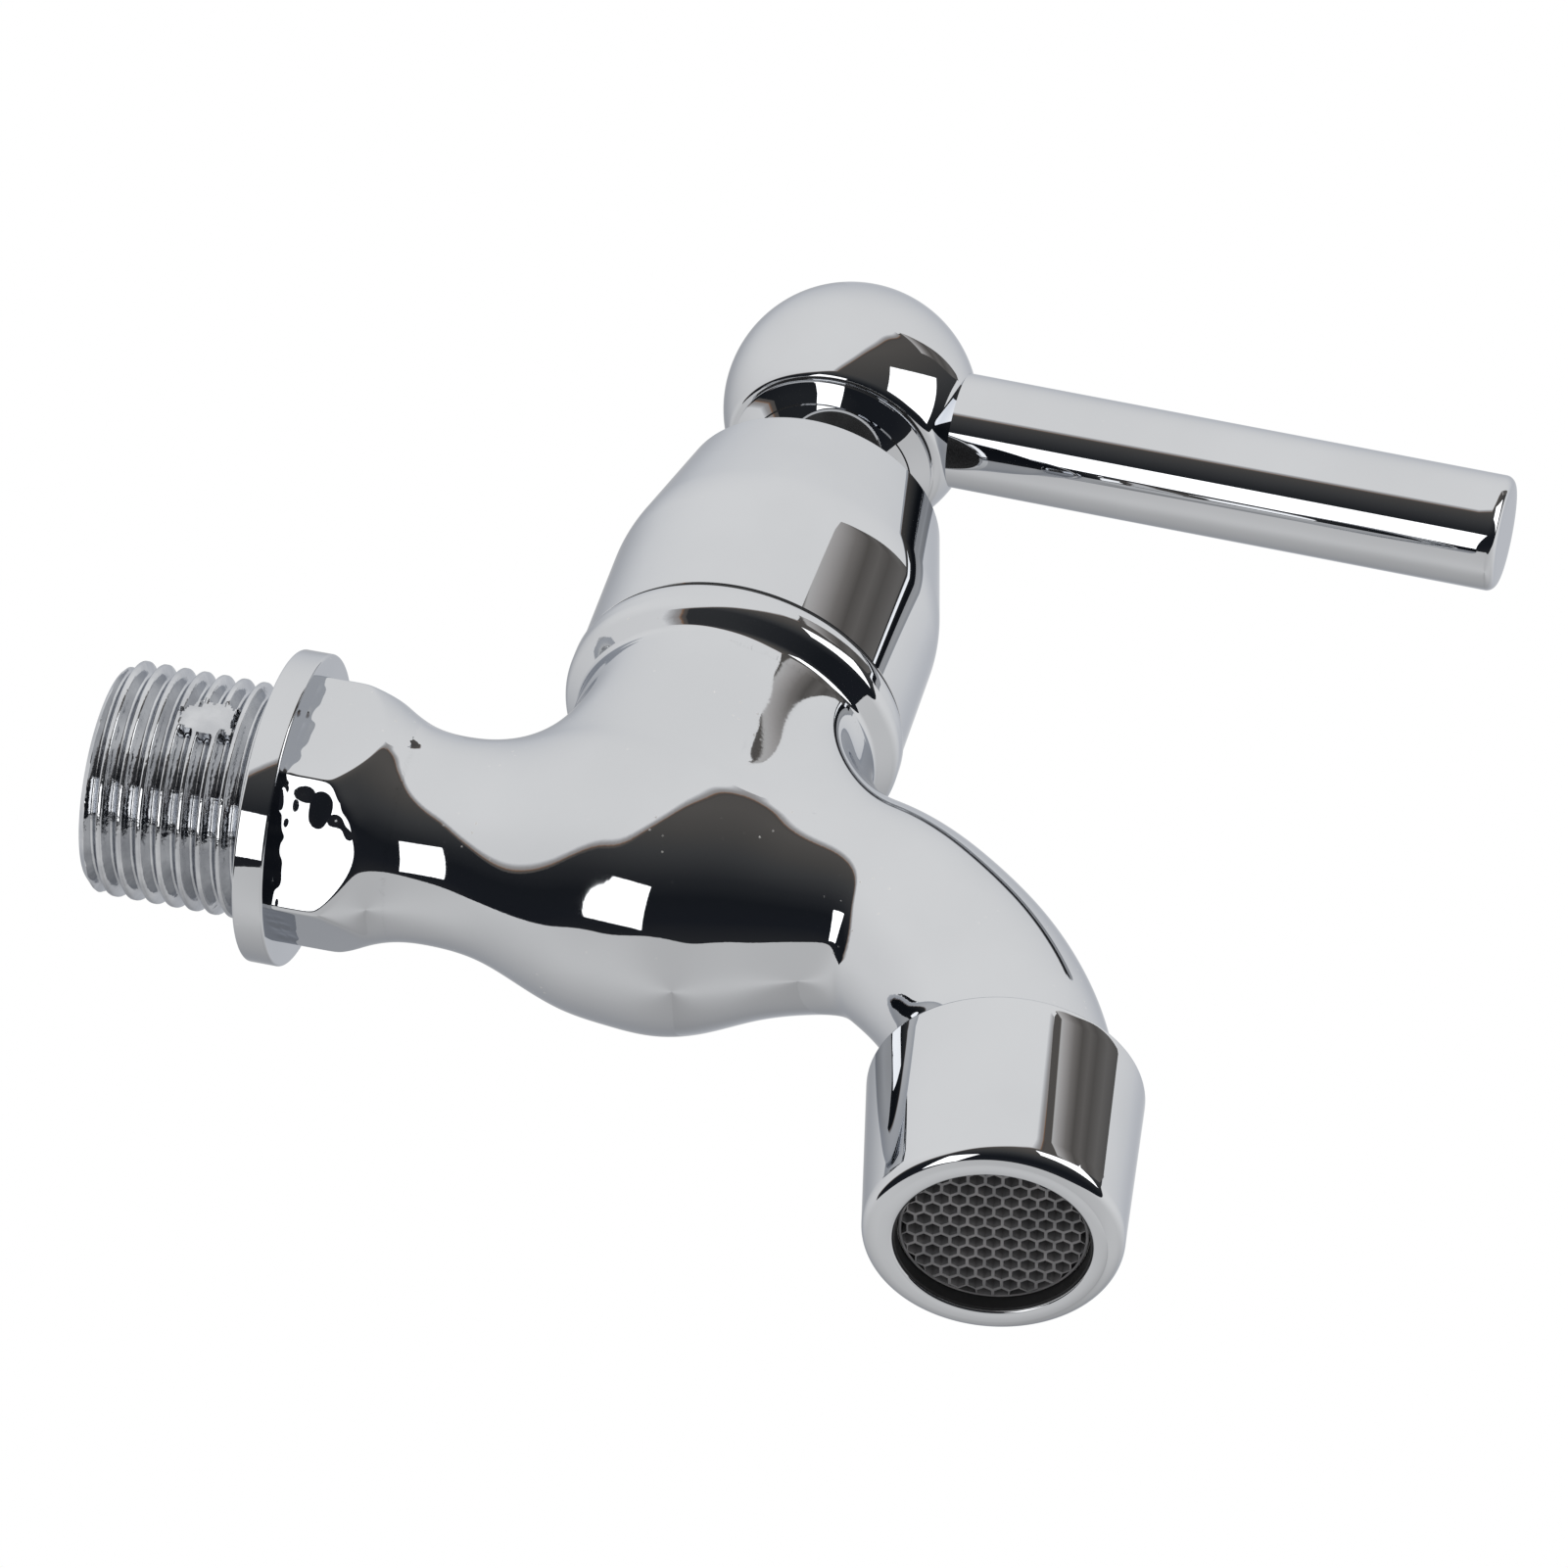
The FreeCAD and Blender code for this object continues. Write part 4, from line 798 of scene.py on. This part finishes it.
def patched_radius(tree, along, turn, radius, given):
    """The thread's radius, with a plane that faces -y within a ragged outline."""
    calc, add = makers(tree)
    height = calc("SINE", turn)
    facing = calc("MULTIPLY", calc("COSINE", turn), -1.0)
    spread = add("ShaderNodeCombineXYZ", {
        0: calc("MULTIPLY", along, RAGGED_ALONG), 1: calc("MULTIPLY", height, RAGGED_ROUND)})
    ragged = add("ShaderNodeTexNoise", {"Vector": spread.outputs[0], "Scale": 1.0},
                 noise_dimensions="2D")
    off_x = calc("DIVIDE", calc("ADD", along, given["Patch place"]), given["Patch length"])
    off_turn = calc("DIVIDE", calc("ADD", height, -PATCH_HEIGHT), PATCH_HALF)
    away = calc("ADD", *[calc("POWER", calc("ABSOLUTE", off), 4.0) for off in (off_x, off_turn)])
    edge = calc("MULTIPLY_ADD", ragged.outputs[0], RAGGED_REACH, RAGGED_SHIFT)
    near_side = calc("GREATER_THAN", facing, LEAST_FACING)
    inside = calc("MULTIPLY", calc("LESS_THAN", away, edge), near_side)
    plane = calc("DIVIDE", given["Patch level"], calc("MAXIMUM", facing, LEAST_FACING))
    return calc("MULTIPLY_ADD", calc("SUBTRACT", plane, radius), inside, radius)


# %% Thread tree
# Where a ridge's flank starts and ends, as shares of half a pitch, and its place in turns
RIDGE_TOP, RIDGE_FOOT, RIDGE_PLACE = 0.12, 0.94, 10.5


def thread_tree(material):
    """A grid bent into a threaded pipe round X, with a chamfered start and a filled patch."""
    sizes = ("Length", "Radius", "Pitch", "Depth", "Chamfer", "Patch place", "Patch length",
             "Patch level")
    tree, start, end = new_tree("inlet_thread", "GeometryNodeTree",
                                [(title, "Float", None) for title in sizes],
                                [("Geometry", "Geometry")])
    (calc, add), given = makers(tree), start.outputs
    grid = add("GeometryNodeMeshGrid", {
        "Vertices X": 220, "Vertices Y": 241, "Size X": given["Length"], "Size Y": 2 * math.pi})
    place = add("ShaderNodeSeparateXYZ", {0: add("GeometryNodeInputPosition").outputs[0]})
    along = calc("SUBTRACT", place.outputs["X"], calc("MULTIPLY", given["Length"], 0.5))
    turn = place.outputs["Y"]

    # The ridge: how far the place is from the groove's middle, as a share of the pitch
    climb = calc("SUBTRACT", calc("DIVIDE", along, given["Pitch"]),
                 calc("DIVIDE", turn, 2 * math.pi))
    phase = calc("FRACT", calc("ADD", climb, RIDGE_PLACE))
    wave = calc("ABSOLUTE", calc("MULTIPLY_ADD", phase, 2.0, -1.0))
    drop = calc("MULTIPLY", range_node(tree, wave, RIDGE_TOP, RIDGE_FOOT), given["Depth"])
    crest = calc("SUBTRACT", given["Radius"], drop)
    slant = calc("ADD", calc("SUBTRACT", given["Radius"], given["Chamfer"]),
                 calc("ADD", along, given["Length"]))
    size = patched_radius(tree, along, turn, calc("MINIMUM", crest, slant), given)

    spot = add("ShaderNodeCombineXYZ", {0: along, 1: calc("MULTIPLY", size, calc("COSINE", turn)),
                                        2: calc("MULTIPLY", size, calc("SINE", turn))})
    move = add("GeometryNodeSetPosition", {
        "Geometry": grid.outputs["Mesh"], "Position": spot.outputs[0]})
    merge = add("GeometryNodeMergeByDistance", {"Geometry": move.outputs[0], "Distance": 1e-6})
    return finish_tree(tree, end, merge, material)


grow("thread", thread_tree(thread_chrome),
     {"Length": THREAD_LENGTH * MM, "Radius": THREAD_R * MM, "Pitch": THREAD_PITCH * MM,
      "Depth": THREAD_DEPTH * MM, "Chamfer": THREAD_CHAMFER * MM, "Patch place": 5.6 * MM,
      "Patch length": 2.5 * MM, "Patch level": 10.2 * MM}, "tap")

# %% [markdown]
# ## Honeycomb of the aerator
# The mouth holds a grey plastic honeycomb that straightens the water. Its cells could be an array
# of copies cut by a boolean. Geometry Nodes lay one cell on a staggered grid, drop the points
# outside the circle and press the outermost walls onto it. A dark ring round it is the shadow gap
# to the housing, and a rim closes it behind.

# %% One cell of the honeycomb
def comb_cell(tree, given):
    """A hexagon with a smaller one inside it, which is pushed down."""
    calc, add = makers(tree)
    circle = add("GeometryNodeMeshCircle", {
        "Vertices": 6, "Radius": calc("DIVIDE", given["Pitch"], math.sqrt(3))}, fill_type="NGON")
    top = add("GeometryNodeExtrudeMesh", {"Mesh": circle.outputs["Mesh"], "Offset Scale": 0.0})
    shrink = add("GeometryNodeScaleElements", {
        "Geometry": top.outputs["Mesh"], "Selection": top.outputs["Top"],
        "Scale": given["Wall share"]})
    sink = add("GeometryNodeExtrudeMesh", {
        "Mesh": shrink.outputs["Geometry"], "Selection": top.outputs["Top"],
        "Offset Scale": calc("MULTIPLY", given["Depth"], -1.0)})
    return add("GeometryNodeTransform", {
        "Geometry": sink.outputs["Mesh"], "Rotation": (0, 0, math.pi / 6)})


# %% The points it is laid on
def comb_points(tree, given, place):
    """A staggered grid of points, without those outside the circle."""
    calc, add = makers(tree)
    side = 19
    last = side - 1.0
    grid = add("GeometryNodeMeshGrid", {
        "Vertices X": side, "Vertices Y": side, "Size X": calc("MULTIPLY", given["Pitch"], last),
        "Size Y": calc("MULTIPLY", given["Pitch"], last * math.sqrt(3) / 2)})
    column = calc("MODULO", add("GeometryNodeInputIndex").outputs[0], float(side))
    half = calc("MULTIPLY", given["Pitch"], 0.5)
    stagger = add("ShaderNodeCombineXYZ", {0: calc("MULTIPLY", half, calc("MODULO", column, 2.0))})
    shift = add("GeometryNodeSetPosition", {
        "Geometry": grid.outputs["Mesh"], "Offset": stagger.outputs[0]})
    far = add("ShaderNodeVectorMath", {0: place}, operation="LENGTH").outputs["Value"]
    return add("GeometryNodeDeleteGeometry", {
        "Geometry": shift.outputs[0], "Selection": calc("GREATER_THAN", far, given["Radius"])})


# %% Honeycomb tree
def comb_tree(material):
    """Cells on their points, pressed within a circle and turned to the outlet."""
    tree, start, end = new_tree(
        "honeycomb", "GeometryNodeTree",
        [(title, "Float", None) for title in ("Pitch", "Wall share", "Depth", "Radius")]
        + [(title, "Vector", None) for title in ("Turn", "Place")], [("Geometry", "Geometry")])
    (calc, add), given = makers(tree), start.outputs
    place = add("GeometryNodeInputPosition").outputs[0]
    copies = add("GeometryNodeInstanceOnPoints", {
        "Points": comb_points(tree, given, place).outputs[0],
        "Instance": comb_cell(tree, given).outputs[0]})
    real = add("GeometryNodeRealizeInstances", {0: copies.outputs[0]})

    # Corners beyond the circle are pulled onto it
    flat = add("ShaderNodeVectorMath", {0: place, 1: (1, 1, 0)}, operation="MULTIPLY").outputs[0]
    reach = add("ShaderNodeVectorMath", {0: flat}, operation="LENGTH").outputs["Value"]
    share = calc("DIVIDE", given["Radius"], calc("MAXIMUM", reach, 1e-6))
    excess = calc("MINIMUM", calc("SUBTRACT", share, 1.0), 0.0)
    pull = add("ShaderNodeVectorMath", {0: flat, "Scale": excess}, operation="SCALE")
    press = add("GeometryNodeSetPosition", {
        "Geometry": real.outputs[0], "Offset": pull.outputs[0]})
    merge = add("GeometryNodeMergeByDistance", {"Geometry": press.outputs[0], "Distance": 2e-5})
    move = add("GeometryNodeTransform", {
        "Geometry": merge.outputs[0], "Rotation": given["Turn"], "Translation": given["Place"]})
    return finish_tree(tree, end, move, material)


# %% Honeycomb, shadow gap and rim
comb_place = (np.array(OUTLET) + COMB_FACE * outlet_down) * MM
grow("honeycomb", comb_tree(grey_plastic),
     {"Pitch": CELL_PITCH * MM, "Wall share": 0.82, "Depth": (COMB_THICK - 0.1) * MM,
      "Radius": (COMB_R - 0.25) * MM, "Turn": [0.0, math.pi - tilt, 0.0],
      "Place": comb_place.tolist()}, "tap", ["aerator_honeycomb"])
turned_piece("mouth_ring", [
    (34.32, 8.2), (34.32, 8.44), (35.62, 8.44), (35.62, 8.3), (34.6, 8.2), (34.32, 8.2)],
    ON_OUTLET, painted_gap_shade, "tap")
turned_piece("honeycomb_rim", [
    (COMB_FACE, COMB_R - 0.3), (COMB_FACE, COMB_R, 0.15), (COMB_FACE - COMB_THICK, COMB_R),
    (COMB_FACE - COMB_THICK, 0.0)], ON_OUTLET, grey_plastic, "tap")

# %% [markdown]
# ## Inlet bore
# From behind, the water way is seen through the thread's end. A boolean could drill it, but only
# its face and its inner wall are ever seen, so one outline is spun for both.

# %% Face and bore of the inlet
turned_piece("inlet_bore", [
    (-THREAD_LENGTH, THREAD_R - THREAD_CHAMFER), (-THREAD_LENGTH, INLET_BORE_R, 0.3),
    (10.0, INLET_BORE_R), (17.0, 5.0), (22.0, 4.2), (22.0, 0.0)],
    ON_INLET, thread_chrome, "tap", segments=128)


# %% [markdown]
# ## Camera
# The tap is seen from below and a little from the spout's end, through a long lens that hardly
# narrows it. The camera could be set by eye. Its place, turn and focal length were fitted to the
# outline and to the tap's circles, so that the edges fall where they should.

# %% Camera
CAMERA_MM = (200.16, -607.58, -578.67)
CAMERA_TURN = (135.163, -14.590, 0.330)
FOCAL_PIXELS, PHOTO_PIXELS, SENSOR_WIDTH = 10000.0, 1601.0, 36.0

camera = add_object("camera", bpy.data.cameras.new("camera"))
camera.location = Vector(CAMERA_MM) * MM
camera.rotation_euler = [math.radians(a) for a in CAMERA_TURN]
camera.data.sensor_width = SENSOR_WIDTH
camera.data.lens = FOCAL_PIXELS * SENSOR_WIDTH / PHOTO_PIXELS
camera.data.clip_start, camera.data.clip_end = 0.05, 100.0
bpy.context.scene.camera = camera
print("focal length: %.1f mm" % camera.data.lens)


# %% [markdown]
# ## Studio
# A mirror shows its surroundings: the room behind the camera is dark, with two white soft boxes
# in front of it, and all else is pale. Lamps and a sky picture could light the tap, but only real
# cards can be shaped to what the chrome shows. Each card is laid through directions seen from the
# tap, as azimuth and elevation from the camera, and is a stage piece out of the camera's sight.

# %% Cards placed by direction
camera_turn = camera.rotation_euler.to_matrix()
STUDIO_MIDDLE = Vector((40.0, 0.0, 10.0)) * MM
# How far each card stands, in metres
ROOM_AWAY, BORDER_AWAY, FOLDS_AWAY, TENT_AWAY = 1.5, 1.47, 1.45, 1.62
LEFT_BOX_AWAY, RIGHT_BOX_AWAY = 1.0, 0.28


def direction(azimuth, elevation):
    """A world direction; azimuth 0 points at the camera and counts to the picture's right."""
    a, e = math.radians(azimuth), math.radians(elevation)
    return camera_turn @ Vector((math.cos(e) * math.sin(a), math.sin(e), math.cos(e) * math.cos(a)))


def studio_card(name, grid, distance, material, middle=STUDIO_MIDDLE, by_angle=False):
    """A card through rows of directions, with a UV map by its own sides or by the directions."""
    rows, columns = len(grid), len(grid[0])
    spots = [spot for row in grid for spot in row]
    faces = [[first, first + 1, first + columns + 1, first + columns]
             for r in range(rows - 1) for first in range(r * columns, (r + 1) * columns - 1)]
    mesh = bpy.data.meshes.new(name)
    mesh.from_pydata([tuple(middle + direction(*spot) * distance) for spot in spots], [], faces)
    layer = mesh.uv_layers.new(name="card")
    for loop in mesh.loops:
        row, column = divmod(loop.vertex_index, columns)
        azimuth, elevation = spots[loop.vertex_index]
        layer.data[loop.index].uv = ((azimuth + 180) / 360, (elevation + 90) / 180) if by_angle \
            else (column / (columns - 1), row / (rows - 1))
    mesh.shade_smooth()
    mesh.materials.append(material)
    card = add_object(name, mesh)
    card.visible_camera = False
    card.visible_diffuse = False
    card.visible_shadow = False
    print("%-18s %6d faces, %.2f m away" % (name, len(faces), distance))


# %% Materials of the cards
def card_tree(name):
    """An empty card material; returns it, its tree and the two sides of its UV map."""
    material = bpy.data.materials.new(name)
    material.use_nodes = True
    tree = material.node_tree
    tree.nodes.clear()
    place = add_node(tree, "ShaderNodeUVMap", uv_map="card")
    return material, tree, add_node(tree, "ShaderNodeSeparateXYZ", {0: place.outputs[0]}).outputs


def ramp_node(tree, share, stops, interpolation="LINEAR"):
    """A colour ramp through stops (place, colour)."""
    ramp = add_node(tree, "ShaderNodeValToRGB", {0: share})
    ramp.color_ramp.interpolation = interpolation
    while len(ramp.color_ramp.elements) < len(stops):
        ramp.color_ramp.elements.new(0.5)
    for element, (at, colour) in zip(ramp.color_ramp.elements, stops):
        element.position = at
        element.color = (*colour, 1)
    return ramp.outputs[0]


def light_up(tree, colour):
    """Ends a card's tree in an emission of a colour."""
    glow = add_node(tree, "ShaderNodeEmission", {"Color": colour})
    add_node(tree, "ShaderNodeOutputMaterial", {"Surface": glow.outputs[0]})


def glow_material(name, stops, along="Y"):
    """An emission whose tone follows the card's height, or its width, through colour stops."""
    material, tree, sides = card_tree(name)
    light_up(tree, ramp_node(tree, sides[along], stops))
    return material


# %% [markdown]
# ### The dark room
# The long dark band on the casting is the room behind the camera. A box of walls would bend into
# the same band, but its outline would be hard to steer. The card's upper and lower edges are
# smooth lines through directions. Two strips soften the upper edge: a grey one over a thin warm
# line, and on the right a wide one with soft folds, as of a cloth.

# %% The dark room behind the camera
ROOM_TOP = [(-96, -18), (-80, -8), (-66, -1), (-50, 6), (-36, 15), (-22, 29), (0, 44), (17, 52),
            (40, 58), (65, 60), (80, 58), (88, 57), (97, 47), (106, 36), (114, 26), (121, 17)]
ROOM_LOW = [(-96, -26), (-84, -31), (-66, -37), (-38, -40), (0, -45), (30, -46), (56, -32),
            (80, -15), (95, 4), (112, 14), (121, 16)]
FOLDS_LOW = [(87, 40), (97, 33), (108, 22), (121, 15)]


def line_through(points, azimuths):
    """Elevations of a smooth line through (azimuth, elevation) points."""
    table = np.array(points, float)
    return spline_through(table[:, 0], table[:, 1:], azimuths)[:, 0]


def card_between(first, last, lower, upper, columns, rows):
    """Directions between two lines, each a list of points and a shift in degrees."""
    spread = np.linspace(first, last, columns)
    low, high = [line_through(points, spread) + shift for points, shift in (lower, upper)]
    return [[(a, b + (t - b) * share) for a, b, t in zip(spread, low, high)]
            for share in np.linspace(0, 1, rows)]


dark_room = glow_material("dark_room", [
    (0.22, (0.03, 0.031, 0.034)), (0.33, (0.014, 0.016, 0.021)), (0.42, (0.013, 0.015, 0.019)),
    (0.5, (0.028, 0.03, 0.034)), (0.6, (0.062, 0.063, 0.065)), (0.68, (0.09, 0.086, 0.082)),
    (0.78, (0.12, 0.112, 0.105))])
warm_border = glow_material("warm_border", [
    (0.0, (0.1, 0.095, 0.09)), (0.22, (0.13, 0.11, 0.1)), (0.3, (0.3, 0.17, 0.1)),
    (0.37, (0.36, 0.33, 0.32)), (0.6, (0.44, 0.43, 0.43)), (0.8, (0.66, 0.66, 0.67)),
    (1.0, (0.95, 0.95, 0.96))])
wide_border = glow_material("wide_border", [
    (0.0, (0.12, 0.11, 0.1)), (0.012, (0.12, 0.11, 0.1)), (0.03, (0.62, 0.61, 0.6)),
    (0.1, (0.5, 0.48, 0.47)), (0.24, (0.24, 0.225, 0.215)), (0.36, (0.12, 0.112, 0.105)),
    (0.48, (0.17, 0.16, 0.152)), (0.6, (0.12, 0.113, 0.107)), (0.78, (0.18, 0.172, 0.165)),
    (1.0, (0.13, 0.125, 0.12))], along="X")
studio_card("room_card", card_between(-96, 121, (ROOM_LOW, 0), (ROOM_TOP, 0), 109, 40),
            ROOM_AWAY, dark_room, by_angle=True)
studio_card("warm_border", card_between(-96, 84, (ROOM_TOP, -3.4), (ROOM_TOP, 2.6), 91, 8),
            BORDER_AWAY, warm_border)
studio_card("wide_border", card_between(87.5, 121, (FOLDS_LOW, 0), (ROOM_TOP, 1.0), 40, 14),
            FOLDS_AWAY, wide_border)

# %% [markdown]
# ### Soft boxes
# Two soft boxes make the white windows on the bulb, the ball and the rod. Area lights would do,
# but they come only as rectangles and discs, and a glowing card can have any four corners. The
# right one stands close to the ball, because it is the ball and the rod that show it.

# %% The two soft boxes
def box_grid(corner_list, count=6):
    """Directions across a four-cornered card: low left, low right, high right, high left."""
    a, b, c, d = [np.array(x, float) for x in corner_list]
    grid = []
    for v in np.linspace(0, 1, count):
        left, right = a + (d - a) * v, b + (c - b) * v
        grid.append([tuple(left + (right - left) * u) for u in np.linspace(0, 1, count)])
    return grid


soft_white = glow_material("soft_box", [(0.0, (2.4, 2.4, 2.4)), (1.0, (2.2, 2.2, 2.2))])
BALL_MIDDLE = Vector((VALVE_X, 0.0, BALL_Z)) * MM
studio_card("left_soft_box", box_grid([(-46, -31), (-25, -37), (-13, -7), (-33, -2)]),
            LEFT_BOX_AWAY, soft_white)
studio_card("right_soft_box", box_grid([(32, 13), (72, -11), (87, 20), (40, 34)]),
            RIGHT_BOX_AWAY, soft_white, middle=BALL_MIDDLE)

# %% [markdown]
# ### Light tent
# All that is not room or soft box is pale cloth round the tap. One flat white would leave the
# chrome lifeless, so the tent's tone changes with the direction: three ramps along the azimuth,
# for below, level and above, mixed by height. It is a ball of cards round everything.

# %% The light tent round it all
TENT_BELOW = [(-180, 0.52), (-135, 0.62), (-80, 0.86), (-15, 0.62), (60, 0.74), (110, 0.82),
              (150, 0.58), (180, 0.48)]
TENT_LEVEL = [(-180, 0.62), (-160, 0.60), (-135, 0.84), (-100, 0.9), (80, 1.0), (110, 1.15),
              (140, 1.0), (180, 0.78)]
TENT_ABOVE = [(-180, 1.12), (-110, 1.06), (-10, 1.06), (90, 1.16), (135, 1.26), (180, 1.16)]


def tent_material():
    """Tone by direction: one ramp along the azimuth for each of three heights."""
    material, tree, sides = card_tree("light_tent")
    below, level, above = [
        ramp_node(tree, sides["X"], [((azimuth + 180) / 360, (tone, tone, 1.005 * tone))
                                     for azimuth, tone in stops], "B_SPLINE")
        for stops in (TENT_BELOW, TENT_LEVEL, TENT_ABOVE)]
    tone = mix_node(tree, range_node(tree, sides["Y"], 0.27, 0.46), below, level)
    light_up(tree, mix_node(tree, range_node(tree, sides["Y"], 0.5, 0.7), tone, above))
    return material


tent_grid = [[(a, e) for a in np.linspace(-180, 180, 73)] for e in np.linspace(-90, 90, 37)]
studio_card("light_tent", tent_grid, TENT_AWAY, tent_material(), by_angle=True)

# %% [markdown]
# ## Surroundings and floor
# The picture's ground is plain white. More light would get there, but it would also bleach the
# tap, so the world is white only where the camera or a mirror looks at it, and gives a plain soft
# light otherwise. A pale floor lies far below the tap, out of the picture.

# %% Pale surroundings
world = bpy.data.worlds.new("pale_studio")
bpy.context.scene.world = world
world.use_nodes = True
tree = world.node_tree
tree.nodes.clear()
path = add_node(tree, "ShaderNodeLightPath").outputs
seen = math_node(tree, "MAXIMUM", path["Is Camera Ray"], path["Is Glossy Ray"])
seen = math_node(tree, "MAXIMUM", seen, path["Is Transmission Ray"])
white = add_node(tree, "ShaderNodeBackground", {"Color": (1.0, 1.0, 1.0, 1)})
lamp = add_node(tree, "ShaderNodeBackground", {"Color": (0.8, 0.8, 0.8, 1)})
choice = add_node(tree, "ShaderNodeMixShader", {0: seen, 1: lamp.outputs[0], 2: white.outputs[0]})
add_node(tree, "ShaderNodeOutputWorld", {"Surface": choice.outputs[0]})

# %% Floor
FLOOR_HALF, FLOOR_Z = 3.0, -1.7
floor = add_object("floor", bpy.data.meshes.new("floor"))
floor.data.from_pydata([(x * FLOOR_HALF, y * FLOOR_HALF, FLOOR_Z)
                        for x, y in ((-1, -1), (1, -1), (1, 1), (-1, 1))], [], [(0, 1, 2, 3)])
floor.data.materials.append(finish_material("pale_floor", (0.82, 0.82, 0.82), (0.79, 0.79, 0.79),
                                            0.0, (0.6, 0.7), tone_size=2.0))
print("floor at %.1f m" % FLOOR_Z)

# %% [markdown]
# ## Picture settings
# The view is Standard, so that tones stay as they were made.

# %% Picture settings
bpy.context.scene.view_settings.view_transform = "Standard"
